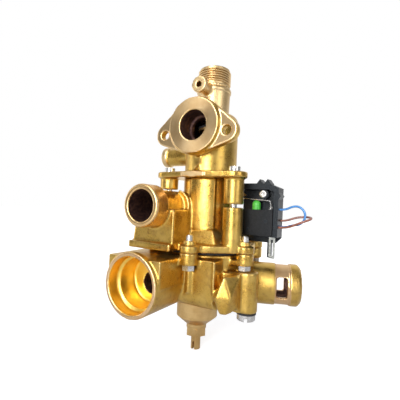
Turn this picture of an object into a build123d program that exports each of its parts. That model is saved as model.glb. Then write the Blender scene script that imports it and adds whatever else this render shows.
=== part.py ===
# Brass diverter valve of a combination boiler.
# Three castings are stacked on one upright axis. Water flowing through the lower casting lifts a
# rubber diaphragm. Its spindle shifts two valve discs in the upper casting and tips a lever, which
# presses the blade of a microswitch beside the middle casting.
#
# Lengths are in millimetres. The origin is the centre of the bolted flange's face, +Z is up, and the
# flange, the stub and the cup face -Y. In the code, x and y are counted from the main axis, and h is
# the height above the joint between the middle and lower castings, where the diaphragm is clamped.

from math import atan2, cos, pi, radians, sin, tan
import os

from build123d import *

os.makedirs("parts", exist_ok=True)

# Where the origin lies
flange_reach = 31.0

# Fits
seat_clearance = 0.05
running_clearance = 0.05
spigot_clearance = 0.1

# Bolted flange of the upper casting
flange_bore_r = 11.0
flange_bore_depth = 14.0
flange_port_r = 9.0
flange_port_end_y = -12.0
pad_r = 20.8
pad_proud = 2.5
flange_thickness = 6.0
flange_edge_r = 21.6
flange_hole_span = 52.4
flange_hole_drop = 5.3
flange_hole_r = 3.3
flange_ear_r = 8.3
flange_neck_r = 16.5
flange_neck_end_y = -8.5

# Upper casting
upper_r = 20.8
upper_wall = 4.3
seat_step = 0.9
upper_gland_length = 4.5
plate_thickness = 4.5
plate_ear_r = 9.4
plate_crest_y = -28.0
plate_crest_r = 1.0
crest_rib_width = 2.0
crest_rib_height = 8.0
shoulder_rise = 5.5
shoulder_round = 6.8
tube_length = 18.0
tube_r = 12.7
tube_flare = 0.5
tube_bore_r = 10.5
tube_collar_r = 13.9
tube_collar_height = 2.9
thread_r = 13.2
thread_length = 14.5
thread_chamfer = 1.0
relief_groove_width = 1.6
relief_groove_depth = 0.9
nipple_drop = 0.1
nipple_mouth_y = -25.0
nipple_ring_r = 6.2
nipple_ring_length = 3.2
nipple_neck_r = 4.6
nipple_bore_r = 2.2
side_port_rise = 19.9
side_port_mouth_x = -44.7
side_port_r = 8.7
side_port_collar = 4.6
side_port_neck_r = 7.6
side_port_bore_r = 5.4

# Screws that hold the upper casting on the middle one
tie_circle_r = 33.0
tie_angles = (-30.0, -150.0, 90.0)
tie_boss_r = 7.2
tie_gap = 2.2
tie_leg_length = 18.9
tie_leg_left_length = 9.1
tie_bite = 5.0
tie_screw_r = 2.5
tie_head_r = 4.2
tie_head_height = 3.6
tie_socket_r = 1.9
tie_socket_depth = 2.0

# Middle casting
column_r = 21.0
middle_chamber_r = 17.0
middle_chamber_top_h = 35.0
middle_recess_depth = 2.0
lever_pocket_bottom_h = 39.5
lever_pocket_top_h = 50.0
lever_pocket_half_width = 5.8
lever_pocket_left_x = -6.5
lever_pocket_right_x = 13.5
spigot_length = 4.0
panel_proud = 1.3
panel_left_angle = -104.0
panel_right_angle = -50.0
panel_bottom_h = 16.0
pedestal_h = 7.0
pedestal_top_left_x = -4.5
pedestal_top_right_x = 15.5
pedestal_left_x = -10.5
pedestal_right_x = 20.5
pedestal_front_y = -26.5
ports_x = -20.8
stub_h = 31.9
stub_mouth_y = -59.8
stub_r = 15.0
stub_collar_length = 13.5
stub_chamfer = 0.8
stub_bore_r = 11.0
stub_bore_depth = 28.0
stub_neck_r = 12.0
stub_inner_bore_r = 7.5
stub_end_y = -3.0
cross_bore_r = 6.5
cross_bore_h = 25.0
cross_bore_y = -9.0
arch_half_width = 17.0
arch_front_y = -24.5
arch_round = 10.5
duct_left_x = -37.0
duct_right_x = -3.2
duct_front_y = -45.0
duct_top_h = 30.0
duct_round = 2.4
duct_flare = 3.0
middle_flange_bottom_h = 1.0
middle_flange_thickness = 5.0
middle_flange_r = 38.0
middle_flange_front_y = -48.5

# Joint that clamps the diaphragm
clamp_count = 6
clamp_circle_r = 40.0
clamp_first_angle = -79.6
clamp_ear_r = 6.6
clamp_web_r = 8.5
clamp_web_reach = 0.72
clamp_boss_r = 6.3
clamp_boss_bottom_h = -7.4
clamp_web_top_h = -3.5
clamp_pad_r = 4.3
clamp_pad_height = 3.6
clamp_screw_r = 2.5
clamp_tip_proud = 4.0
clamp_hex_flats = 8.0
clamp_hex_height = 3.5
clamp_head_room_r = 5.4
diaphragm_outer_r = 33.4
diaphragm_rim_r = 27.0
diaphragm_rim_half = 1.0
diaphragm_web = 1.0
diaphragm_dish = 6.5
diaphragm_slope = 6.5
diaphragm_plate_r = 19.0
diaphragm_plate_thickness = 1.5
chamber_floor_h = -12.4
bowl_r = 33.5
bowl_foot_r = 30.0
bowl_foot_h = -16.0

# Spindles, glands and valve discs
travel = 4.0
spindle_r = 2.5
spindle_tip = 1.0
shoulder_r = 4.2
shoulder_height = 2.0
nut_flats = 8.0
nut_height = 2.6
spindle_joint_rise = 7.5
gland_r = 5.2
gland_flange_r = 7.6
gland_flange_thickness = 1.6
gland_groove_wall = 0.6
seal_section_r = 0.8
lower_seat_rise = 26.0
lower_seat_thickness = 2.5
lower_seat_hole_r = 8.5
lower_seat_chamfer = 0.5
seat_spacing = 20.5
flange_rise = 11.7
upper_seat_thickness = 3.0
upper_seat_hole_r = 8.6
disc_r = 11.2
disc_thickness = 1.6
disc_rubber = 1.6
spacer_r = 4.0
spring_cup_r = 7.6
spring_cup_thickness = 1.0
spring_mean_r = 6.4
spring_wire_r = 0.6
spring_turns = 6
spring_room = 17.0
retainer_thickness = 1.5
retainer_hole_count = 6
retainer_hole_r = 1.7
retainer_hole_circle_r = 7.2
snap_ring_height = 1.2
snap_ring_bite = 0.9
snap_ring_width = 2.0
snap_ring_gap = 6.0
drive_collar_r = 5.0
drive_collar_height = 1.6

# Lever that the spindle tips
lever_pivot_x = 22.5
lever_pivot_h = 43.6
lever_thickness = 2.0
lever_side_gap = 0.35
lever_contact_gap = 0.15
lever_arm_end_x = 3.6
lever_arm_height = 2.6
lever_hub_r = 2.5
lever_pin_r = 1.2
lever_nose_x = 32.4
lever_nose_h = 43.1
lever_nose_top_x = 26.6
lever_nose_top_h = 47.2
lever_nose_heel_x = 28.4
lever_lug_thickness = 2.4
lever_lug_r = 2.7
lever_lug_height = 6.0

# Lower casting
cup_h = -20.9
cup_mouth_y = -66.6
cup_r = 22.0
cup_bore_r = 19.0
cup_bore_depth = 9.0
cup_inner_r = 16.8
cup_inner_depth = 24.0
cup_rim_length = 5.0
cup_face_y = -64.0
cup_block_half_width = 22.6
cup_block_top_h = -2.8
cup_block_back_y = -24.0
cup_hole_r = 2.4
cup_hole_angle = 40.0
cup_hole_inset = 15.0
cup_hole_depth = 3.4
water_h = -23.6
water_r = 7.6
water_wall = 3.4
water_turn_y = -12.0
chamber_inlet_r = 5.0
core_left_x = -14.0
core_right_x = 25.0
core_front_y = -36.0
core_back_y = 14.0
core_top_h = -3.5
core_bottom_h = -38.2
core_keel_round = 9.0
core_foot_r = 16.6
arm_angle = 20.0
arm_h = -24.3
arm_r = 15.8
arm_length = 73.0
arm_start = 8.0
arm_dome = 2.6
arm_rim = 3.0
arm_bore_r = 11.5
arm_bore_depth = 38.0
clip_groove_start = 53.8
clip_groove_end = 64.5
clip_groove_depth = 0.8
clip_window_start = 54.8
clip_window_width = 7.4
clip_window_height = 15.0
fin_left_x = 24.0
fin_front_y = -38.0
fin_right_x = 38.5
fin_right_y = -30.0
fin_back_y = -20.0
fin_top_h = -12.5
fin_bottom_h = -37.0
plug_boss_x = 40.0
plug_boss_y = -12.0
plug_boss_r = 7.6
plug_boss_top_h = -11.4
plug_boss_bottom_h = -39.6
plug_facet_x = 33.6
plug_facet_y = -19.2
plug_facet_r = 1.0
plug_head_r = 6.5
plug_head_height = 4.6
plug_head_chamfer = 0.6
plug_slot_width = 2.0
plug_slot_depth = 2.4
plug_shank_r = 4.0
plug_shank_length = 8.0
plug_washer_r = 7.1
plug_washer_thickness = 1.2

# Bottom cap, its gland and the adjusting spindle
cap_y = -12.0
cap_r = 15.6
cap_face_margin = 0.4
cap_side_bottom_h = -50.0
cap_cone_bottom_h = -55.6
cap_cone_r = 9.0
cap_spigot_r = 11.0
cap_spigot_length = 5.0
pocket_r = 9.0
pocket_top_h = -18.6
packing_r = 6.0
gland_nut_flats = 14.0
gland_nut_height = 5.4
gland_nut_collar_r = 7.6
gland_nut_collar_height = 4.0
gland_nut_shank_length = 5.0
adjuster_r = 3.6
adjuster_bottom_h = -76.0
adjuster_slot_width = 1.4
adjuster_slot_depth = 6.0
adjuster_head_r = 7.4
adjuster_head_h = -28.0
adjuster_head_height = 5.0

# Switch and its bracket
bracket_back_y = 11.0
bracket_plate = 3.0
bracket_left_x = 26.5
bracket_right_x = 57.0
bracket_top_h = 52.0
bracket_top_right_h = 48.8
bracket_corner_x = 49.0
bracket_bottom_h = 8.0
bracket_chamfer = 4.0
bracket_bar_height = 4.4
bracket_bar_front_y = -1.0
bracket_rim_width = 3.4
bracket_rim_front_y = -2.0
bracket_rim_bottom_h = 13.0
bracket_tab_left_x = 20.0
bracket_tab_top_h = 19.0
bracket_leg_x = 47.4
bracket_leg_width = 2.6
bracket_leg_bottom_h = -3.0
bracket_leg_depth = 4.0
tooth_height = 3.2
tooth_half_width = 2.4
tooth_xs = (42.4, 48.2)
side_tooth_h = 43.0
case_left_x = 30.5
case_right_x = 53.2
case_bottom_h = 13.5
case_top_h = 32.6
case_front_y = -2.4
case_round = 0.8
case_hole_r = 1.5
case_peg_places = ((35.0, 17.5), (48.2, 24.4))
plunger_x = 39.3
plunger_y = 2.6
plunger_r = 3.2
plunger_clearance = 0.08
plunger_foot = 6.0
plunger_well = 8.0
blade_thickness = 0.5
blade_width = 4.6
blade_hinge_x = 51.2
blade_hinge_h = 34.0
blade_hinge_r = 0.9
blade_hinge_clearance = 0.1
blade_corner_x = 50.0
blade_corner_h = 39.4
blade_tip_x = 27.6
blade_tip_h = 40.8
blade_gap = 0.25
cradle_width = 4.0
cradle_height = 1.6
switch_screw_x = 44.8
switch_screw_h = 44.2
switch_screw_head_r = 2.9
switch_screw_head_height = 1.8
switch_screw_socket_r = 0.9
switch_screw_r = 1.5
switch_screw_boss_r = 3.8
switch_screw_boss_front_y = 1.0
switch_screw_length = 8.0
bracket_screw_x = 24.0
bracket_screw_h = 13.4
bracket_screw_head_r = 3.0
bracket_screw_head_height = 2.2
bracket_screw_slot = 0.9
bracket_screw_r = 1.9
bracket_screw_length = 9.0
lug_back_y = 20.5
lug_right_x = 28.5
terminal_x = 50.6
terminal_width = 4.4
terminal_thickness = 0.8
terminal_y = 1.0
terminal_bottom_h = -2.4
terminal_slot_width = 1.6
terminal_slot_margin = 2.0
wire_r = 0.8

# Values worked out from the ones above
upper_chamber_r = upper_r - upper_wall
seat_step_r = upper_chamber_r - seat_step
plate_bottom_h = lever_pocket_top_h + upper_gland_length
plate_top_h = plate_bottom_h + plate_thickness
spigot_top_h = plate_bottom_h + spigot_length
tie_joint_h = plate_bottom_h - tie_leg_length
tie_joint_left_h = plate_bottom_h - tie_leg_left_length
spindle_joint_h = plate_bottom_h + spindle_joint_rise
side_port_h = plate_bottom_h + side_port_rise
lower_seat_h = plate_bottom_h + lower_seat_rise
lower_seat_top_h = lower_seat_h + lower_seat_thickness
upper_seat_h = lower_seat_h + seat_spacing
flange_h = lower_seat_h + flange_rise
shoulder_h = upper_seat_h + shoulder_rise
retainer_h = upper_seat_h + spring_room
tube_collar_bottom_h = shoulder_h + tube_length
nipple_h = tube_collar_bottom_h - nipple_drop
groove_bottom_h = tube_collar_bottom_h + tube_collar_height
thread_bottom_h = groove_bottom_h + relief_groove_width
thread_top_h = thread_bottom_h + thread_length
middle_flange_top_h = middle_flange_bottom_h + middle_flange_thickness
bowl_top_h = -diaphragm_rim_half
clamp_pad_top_h = middle_flange_top_h + clamp_pad_height
clamp_tip_h = clamp_pad_top_h + clamp_tip_proud
web_top_h = -diaphragm_dish + diaphragm_web / 2
web_bottom_h = -diaphragm_dish - diaphragm_web / 2
plate_above_h = web_top_h + diaphragm_plate_thickness
plate_below_h = web_bottom_h - diaphragm_plate_thickness
lower_nut_h = plate_below_h - nut_height
lower_rubber_h = lower_seat_top_h + seat_clearance
lower_disc_h = lower_rubber_h + disc_rubber
lower_disc_top_h = lower_disc_h + disc_thickness
upper_rubber_top_h = upper_seat_h - seat_clearance - travel
upper_disc_top_h = upper_rubber_top_h - disc_rubber
upper_disc_h = upper_disc_top_h - disc_thickness
spring_bottom_h = upper_rubber_top_h + spring_cup_thickness
upper_nut_top_h = spring_bottom_h + nut_height
snap_ring_h = retainer_h + retainer_thickness
drive_collar_top_h = lever_pivot_h - lever_arm_height / 2 - lever_contact_gap
gland_nut_hex_h = cap_cone_bottom_h - gland_nut_collar_height
gland_nut_bottom_h = gland_nut_hex_h - gland_nut_height
gland_nut_end_h = cap_cone_bottom_h + gland_nut_shank_length
plate_front_y = bracket_back_y - bracket_plate
plug_head_h = plug_boss_bottom_h - plug_washer_thickness - plug_head_height
lug_inner_y = lever_thickness / 2 + lever_side_gap
lug_outer_y = lug_inner_y + lever_lug_thickness
bush_hole_r = spindle_r + running_clearance
seal_groove_depth = 2 * seal_section_r + running_clearance
seal_groove_height = 2 * seal_section_r + 2 * running_clearance
spigot_groove_h = plate_bottom_h + spigot_length / 2
lower_groove_h = lever_pocket_bottom_h - gland_groove_wall - seal_groove_height / 2
upper_groove_h = lever_pocket_top_h + gland_groove_wall + seal_groove_height / 2
cap_groove_h = core_bottom_h + cap_spigot_length / 2
stem_groove_h = gland_nut_end_h + gland_groove_wall + seal_groove_height / 2
blade_slope = atan2(blade_tip_h - blade_corner_h, blade_corner_x - blade_tip_x)
blade_half = blade_thickness / 2 / cos(blade_slope)
plunger_top_h = blade_corner_h + (blade_corner_x - plunger_x) * tan(blade_slope) - blade_half - blade_gap
lever_nose_heel_h = (
    blade_corner_h + (blade_corner_x - lever_nose_heel_x) * tan(blade_slope) + blade_half + lever_contact_gap
)


# Planes, axes and places
def level(h, x=0.0, y=0.0):
    """Flat plane looking up, at height h."""
    return Plane(origin=(x, flange_reach + y, h - flange_h))


def facing(y, x=0.0, h=0.0):
    """Upright plane looking to the front: local x is +X and local y is up."""
    return Plane(origin=(x, flange_reach + y, h - flange_h), x_dir=(1, 0, 0), z_dir=(0, -1, 0))


def sideways(x, y=0.0, h=0.0):
    """Upright plane looking to the right: local x is +Y and local y is up."""
    return Plane(origin=(x, flange_reach + y, h - flange_h), x_dir=(0, 1, 0), z_dir=(1, 0, 0))


def upright_axis(x=0.0, y=0.0):
    return Axis((x, flange_reach + y, 0), (0, 0, 1))


def on_circle(radius, angle):
    return (radius * cos(radians(angle)), radius * sin(radians(angle)))


arm_direction = (cos(radians(arm_angle)), sin(radians(arm_angle)), 0)
arm_origin = (0, flange_reach, arm_h - flange_h)
arm_plane = Plane(origin=arm_origin, x_dir=arm_direction, z_dir=(arm_direction[1], -arm_direction[0], 0))
arm_axis = Axis(arm_origin, arm_direction)
tie_places = [on_circle(tie_circle_r, angle) for angle in tie_angles]
clamp_places = [
    on_circle(clamp_circle_r, clamp_first_angle + 360 / clamp_count * i) for i in range(clamp_count)
]
flange_holes = [(-flange_hole_span / 2, -flange_hole_drop), (flange_hole_span / 2, -flange_hole_drop)]


def tie_joint(place):
    """The left boss ends higher than the others, because the stub's neck passes under it."""
    return tie_joint_left_h if place[0] < -1 else tie_joint_h


# Shapes that many pieces share
def rod(plane, radius, length, mode=Mode.ADD):
    """Round bar standing on a plane, or hanging from it where the length is negative."""
    with BuildSketch(plane) as disc:
        Circle(radius)
    extrude(disc.sketch, amount=length, mode=mode)


def hexagon(plane, flats, length, mode=Mode.ADD):
    """Hexagonal bar standing on a plane, or hanging from it where the length is negative."""
    with BuildSketch(plane) as outline:
        RegularPolygon(flats / 2, 6, major_radius=False)
    extrude(outline.sketch, amount=length, mode=mode)


def turn(points, x=0.0, y=0.0, mode=Mode.ADD):
    """Turn a half outline of (radius, height) points about the upright axis at x, y."""
    with BuildSketch(facing(y, x)) as outline:
        with BuildLine():
            Polyline(*points, close=True)
        make_face()
    revolve(outline.sketch, axis=upright_axis(x, y), mode=mode)


def ring(inner, outer, bottom, top, x=0.0, y=0.0, mode=Mode.ADD):
    """Plain ring or disc about an upright axis."""
    turn([(inner, bottom), (outer, bottom), (outer, top), (inner, top)], x, y, mode)


def seal_groove(inner, outer, middle_h, x=0.0, y=0.0):
    """Cut the groove that a rubber ring sits in."""
    half = seal_groove_height / 2
    ring(inner, outer, middle_h - half, middle_h + half, x, y, mode=Mode.SUBTRACT)


def seal(centre_r, middle_h, x=0.0, y=0.0):
    """Rubber ring of round section about an upright axis."""
    with BuildSketch(facing(y, x)) as section:
        with Locations((centre_r, middle_h)):
            Circle(seal_section_r)
    revolve(section.sketch, axis=upright_axis(x, y))


def slab(plane, points, length, mode=Mode.ADD):
    """Flat piece with a straight-sided outline, as thick as the length."""
    with BuildSketch(plane) as outline:
        with BuildLine():
            Polyline(*points, close=True)
        make_face()
    extrude(outline.sketch, amount=length, mode=mode)


def rectangle(left, right, bottom, top):
    return [(left, bottom), (right, bottom), (right, top), (left, top)]


def save(piece, name):
    piece.part.label = name
    export_step(piece.part, f"parts/{name}.step")


# Upper casting: threaded tube, nipple, bolted flange, side port and foot plate
with BuildPart() as upper_body:
    with BuildSketch(facing(0)):
        with BuildLine():
            Polyline((0, plate_bottom_h), (upper_r, plate_bottom_h), (upper_r, shoulder_h - shoulder_round))
            CenterArc((upper_r - shoulder_round, shoulder_h - shoulder_round), shoulder_round, 0, 90)
            Polyline(
                (upper_r - shoulder_round, shoulder_h),
                (tube_r, shoulder_h),
                (tube_r + tube_flare, tube_collar_bottom_h),
                (tube_collar_r, tube_collar_bottom_h),
                (tube_collar_r, groove_bottom_h),
                (thread_r - relief_groove_depth, groove_bottom_h),
                (thread_r - relief_groove_depth, thread_bottom_h),
                (thread_r, thread_bottom_h),
                (thread_r, thread_top_h - thread_chamfer),
                (thread_r - thread_chamfer, thread_top_h),
                (0, thread_top_h),
                (0, plate_bottom_h),
            )
        make_face()
    revolve(axis=upright_axis())
    rod(sideways(side_port_mouth_x, h=side_port_h), side_port_r, side_port_collar)
    rod(sideways(side_port_mouth_x, h=side_port_h), side_port_neck_r, -side_port_mouth_x - upper_chamber_r)
    with BuildSketch(level(plate_bottom_h)):
        with Locations(*tie_places):
            Circle(plate_ear_r)
        with Locations((0, plate_crest_y)):
            Circle(plate_crest_r)
        make_hull()
    extrude(amount=plate_thickness)
    for place in tie_places:
        rod(level(tie_joint(place), *place), tie_boss_r, plate_bottom_h - tie_joint(place))
    slab(
        sideways(-crest_rib_width / 2),
        [
            (plate_crest_y, plate_top_h),
            (-upper_chamber_r, plate_top_h + crest_rib_height),
            (-upper_chamber_r, plate_top_h),
        ],
        crest_rib_width,
    )
    with BuildSketch(facing(-flange_reach + pad_proud, h=flange_h)):
        Circle(flange_edge_r)
        with Locations(*flange_holes):
            Circle(flange_ear_r)
        make_hull()
    extrude(amount=-flange_thickness)
    rod(facing(-flange_reach, h=flange_h), pad_r, -pad_proud)
    neck_y = -flange_reach + pad_proud + flange_thickness
    rod(facing(neck_y, h=flange_h), flange_neck_r, neck_y - flange_neck_end_y)
    rod(facing(nipple_mouth_y, h=nipple_h), nipple_ring_r, -nipple_ring_length)
    rod(facing(nipple_mouth_y, h=nipple_h), nipple_neck_r, nipple_mouth_y + tube_bore_r)
    # Chamber, seat and tube, bored through
    turn(
        [
            (0, plate_bottom_h),
            (upper_chamber_r, plate_bottom_h),
            (upper_chamber_r, lower_seat_top_h),
            (seat_step_r, lower_seat_top_h),
            (seat_step_r, upper_seat_h),
            (upper_seat_hole_r, upper_seat_h),
            (upper_seat_hole_r, upper_seat_h + upper_seat_thickness),
            (tube_bore_r, upper_seat_h + upper_seat_thickness),
            (tube_bore_r, snap_ring_h),
            (tube_bore_r + snap_ring_bite, snap_ring_h),
            (tube_bore_r + snap_ring_bite, snap_ring_h + snap_ring_height),
            (tube_bore_r, snap_ring_h + snap_ring_height),
            (tube_bore_r, thread_top_h),
            (0, thread_top_h),
        ],
        mode=Mode.SUBTRACT,
    )
    rod(facing(-flange_reach, h=flange_h), flange_bore_r, -flange_bore_depth, mode=Mode.SUBTRACT)
    rod(facing(-flange_reach, h=flange_h), flange_port_r, -flange_reach - flange_port_end_y, mode=Mode.SUBTRACT)
    for x, z in flange_holes:
        hole_face = facing(-flange_reach, x, flange_h + z)
        rod(hole_face, flange_hole_r, -pad_proud - flange_thickness, mode=Mode.SUBTRACT)
    rod(facing(nipple_mouth_y, h=nipple_h), nipple_bore_r, nipple_mouth_y, mode=Mode.SUBTRACT)
    rod(sideways(side_port_mouth_x, h=side_port_h), side_port_bore_r, -side_port_mouth_x, mode=Mode.SUBTRACT)
    for place in tie_places:
        rod(
            level(tie_joint(place), *place),
            tie_screw_r + seat_clearance,
            plate_top_h - tie_joint(place),
            mode=Mode.SUBTRACT,
        )
save(upper_body, "upper_body")

# Middle casting: column, stub, duct under the stub, pillars and round foot flange
with BuildPart() as middle_body:
    ring(0, column_r, middle_flange_bottom_h, plate_bottom_h)
    ring(0, upper_chamber_r - spigot_clearance, plate_bottom_h, spigot_top_h)
    ring(0, middle_flange_r, middle_flange_bottom_h, middle_flange_top_h)
    for place in clamp_places:
        with BuildSketch(level(middle_flange_bottom_h)):
            with Locations(place):
                Circle(clamp_ear_r)
            with Locations((place[0] * clamp_web_reach, place[1] * clamp_web_reach)):
                Circle(clamp_web_r)
            make_hull()
        extrude(amount=middle_flange_thickness)
        rod(level(middle_flange_top_h, *place), clamp_pad_r, clamp_pad_height)
    slab(
        level(middle_flange_bottom_h),
        rectangle(duct_left_x - duct_flare, duct_right_x, middle_flange_front_y, stub_end_y),
        middle_flange_thickness,
    )
    # Duct under the stub, flared towards its foot, and the arch that joins it to the column
    with BuildSketch(level(middle_flange_top_h)):
        with BuildLine():
            Polyline(
                *rectangle(duct_left_x - duct_flare, duct_right_x, duct_front_y, stub_end_y), close=True
            )
        duct_foot = make_face()
        fillet(duct_foot.vertices().group_by(Axis.Y)[0], radius=duct_round)
    with BuildSketch(level(duct_top_h)):
        with BuildLine():
            Polyline(*rectangle(duct_left_x, duct_right_x, duct_front_y, stub_end_y), close=True)
        duct_top = make_face()
        fillet(duct_top.vertices().group_by(Axis.Y)[0], radius=duct_round)
    loft()
    arch_top_h = tie_joint_left_h - tie_gap
    with BuildSketch(facing(arch_front_y)):
        with BuildLine():
            Polyline(
                *rectangle(
                    ports_x - arch_half_width, ports_x + arch_half_width, middle_flange_top_h, arch_top_h
                ),
                close=True,
            )
        arch = make_face()
        fillet(arch.vertices().group_by(Axis.Y)[-1], radius=arch_round)
    extrude(amount=arch_front_y - stub_end_y)
    rod(facing(stub_mouth_y, ports_x, stub_h), stub_neck_r, stub_mouth_y - stub_end_y)
    rod(facing(stub_mouth_y, ports_x, stub_h), stub_r, -stub_collar_length)
    chamfer(middle_body.edges().filter_by(GeomType.CIRCLE).group_by(Axis.Y)[0], length=stub_chamfer)
    # Raised panel on the column's front and the pedestal that it stands on
    with BuildSketch(level(panel_bottom_h)):
        Circle(column_r + panel_proud)
        with BuildLine():
            Polyline(
                (0, 0),
                on_circle(2 * column_r, panel_left_angle),
                (0, -2 * column_r),
                on_circle(2 * column_r, panel_right_angle),
                close=True,
            )
        make_face(mode=Mode.INTERSECT)
    extrude(amount=plate_bottom_h - panel_bottom_h)
    with BuildSketch(level(pedestal_h)):
        with BuildLine():
            Polyline(
                *rectangle(pedestal_left_x, pedestal_right_x, pedestal_front_y, -column_r / 2), close=True
            )
        make_face()
    with BuildSketch(level(panel_bottom_h)):
        with BuildLine():
            Polyline(
                *rectangle(pedestal_top_left_x, pedestal_top_right_x, -column_r, -column_r / 2), close=True
            )
        make_face()
    loft()
    slab(
        level(middle_flange_top_h),
        rectangle(pedestal_left_x, pedestal_right_x, pedestal_front_y, -column_r / 2),
        pedestal_h - middle_flange_top_h,
    )
    # Pillars for the long screws, lugs for the lever's pin and the lug behind the switch bracket
    for place in tie_places:
        pillar_top_h = tie_joint(place) - tie_gap
        rod(level(middle_flange_bottom_h, *place), tie_boss_r, pillar_top_h - middle_flange_bottom_h)
    for front_y in (-lug_outer_y, lug_inner_y):
        with BuildSketch(facing(front_y)):
            with Locations((lever_pivot_x, lever_pivot_h)):
                Circle(lever_lug_r)
            with Locations((column_r - lever_lug_r, lever_pivot_h)):
                Rectangle(2 * lever_lug_r, lever_lug_height)
            make_hull()
        extrude(amount=-lever_lug_thickness)
    slab(
        level(middle_flange_bottom_h),
        rectangle(0, lug_right_x, bracket_back_y, lug_back_y),
        bracket_tab_top_h - middle_flange_bottom_h,
    )
    # Chamber, gland seats, slot for the lever and bores
    recess_top_h = middle_flange_bottom_h + middle_recess_depth
    gland_hole_r = gland_r + seat_clearance
    gland_step_r = gland_flange_r + seat_clearance
    ring(0, diaphragm_rim_r, middle_flange_bottom_h, recess_top_h, mode=Mode.SUBTRACT)
    ring(0, middle_chamber_r, middle_flange_bottom_h, middle_chamber_top_h, mode=Mode.SUBTRACT)
    ring(0, gland_hole_r, middle_chamber_top_h, spigot_top_h, mode=Mode.SUBTRACT)
    for step_h in (middle_chamber_top_h, spigot_top_h - gland_flange_thickness):
        ring(0, gland_step_r, step_h, step_h + gland_flange_thickness, mode=Mode.SUBTRACT)
    slab(
        level(lever_pocket_bottom_h),
        rectangle(
            lever_pocket_left_x, lever_pocket_right_x, -lever_pocket_half_width, lever_pocket_half_width
        ),
        lever_pocket_top_h - lever_pocket_bottom_h,
        mode=Mode.SUBTRACT,
    )
    slab(
        level(lever_pocket_bottom_h),
        rectangle(0, 2 * column_r, -lug_inner_y, lug_inner_y),
        lever_pocket_top_h - lever_pocket_bottom_h,
        mode=Mode.SUBTRACT,
    )
    pin_face = facing(-lug_outer_y, lever_pivot_x, lever_pivot_h)
    rod(pin_face, lever_pin_r + running_clearance, -2 * lug_outer_y, mode=Mode.SUBTRACT)
    stub_face = facing(stub_mouth_y, ports_x, stub_h)
    stub_blind_end_y = stub_end_y - stub_neck_r + stub_inner_bore_r
    rod(stub_face, stub_bore_r, -stub_bore_depth, mode=Mode.SUBTRACT)
    rod(stub_face, stub_inner_bore_r, stub_mouth_y - stub_blind_end_y, mode=Mode.SUBTRACT)
    rod(sideways(ports_x, cross_bore_y, cross_bore_h), cross_bore_r, -ports_x, mode=Mode.SUBTRACT)
    seal_groove(upper_chamber_r - seal_groove_depth, upper_chamber_r, spigot_groove_h)
    for place in tie_places:
        pillar_top = level(tie_joint(place) - tie_gap, *place)
        rod(pillar_top, tie_screw_r + seat_clearance, -tie_bite, mode=Mode.SUBTRACT)
    for place in clamp_places:
        depth = clamp_tip_h + seat_clearance - middle_flange_bottom_h
        rod(level(middle_flange_bottom_h, *place), clamp_screw_r + seat_clearance, depth, mode=Mode.SUBTRACT)
    lug_face = facing(bracket_back_y, bracket_screw_x, bracket_screw_h)
    rod(lug_face, bracket_screw_r + seat_clearance, -bracket_screw_length, mode=Mode.SUBTRACT)
save(middle_body, "middle_body")

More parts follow.
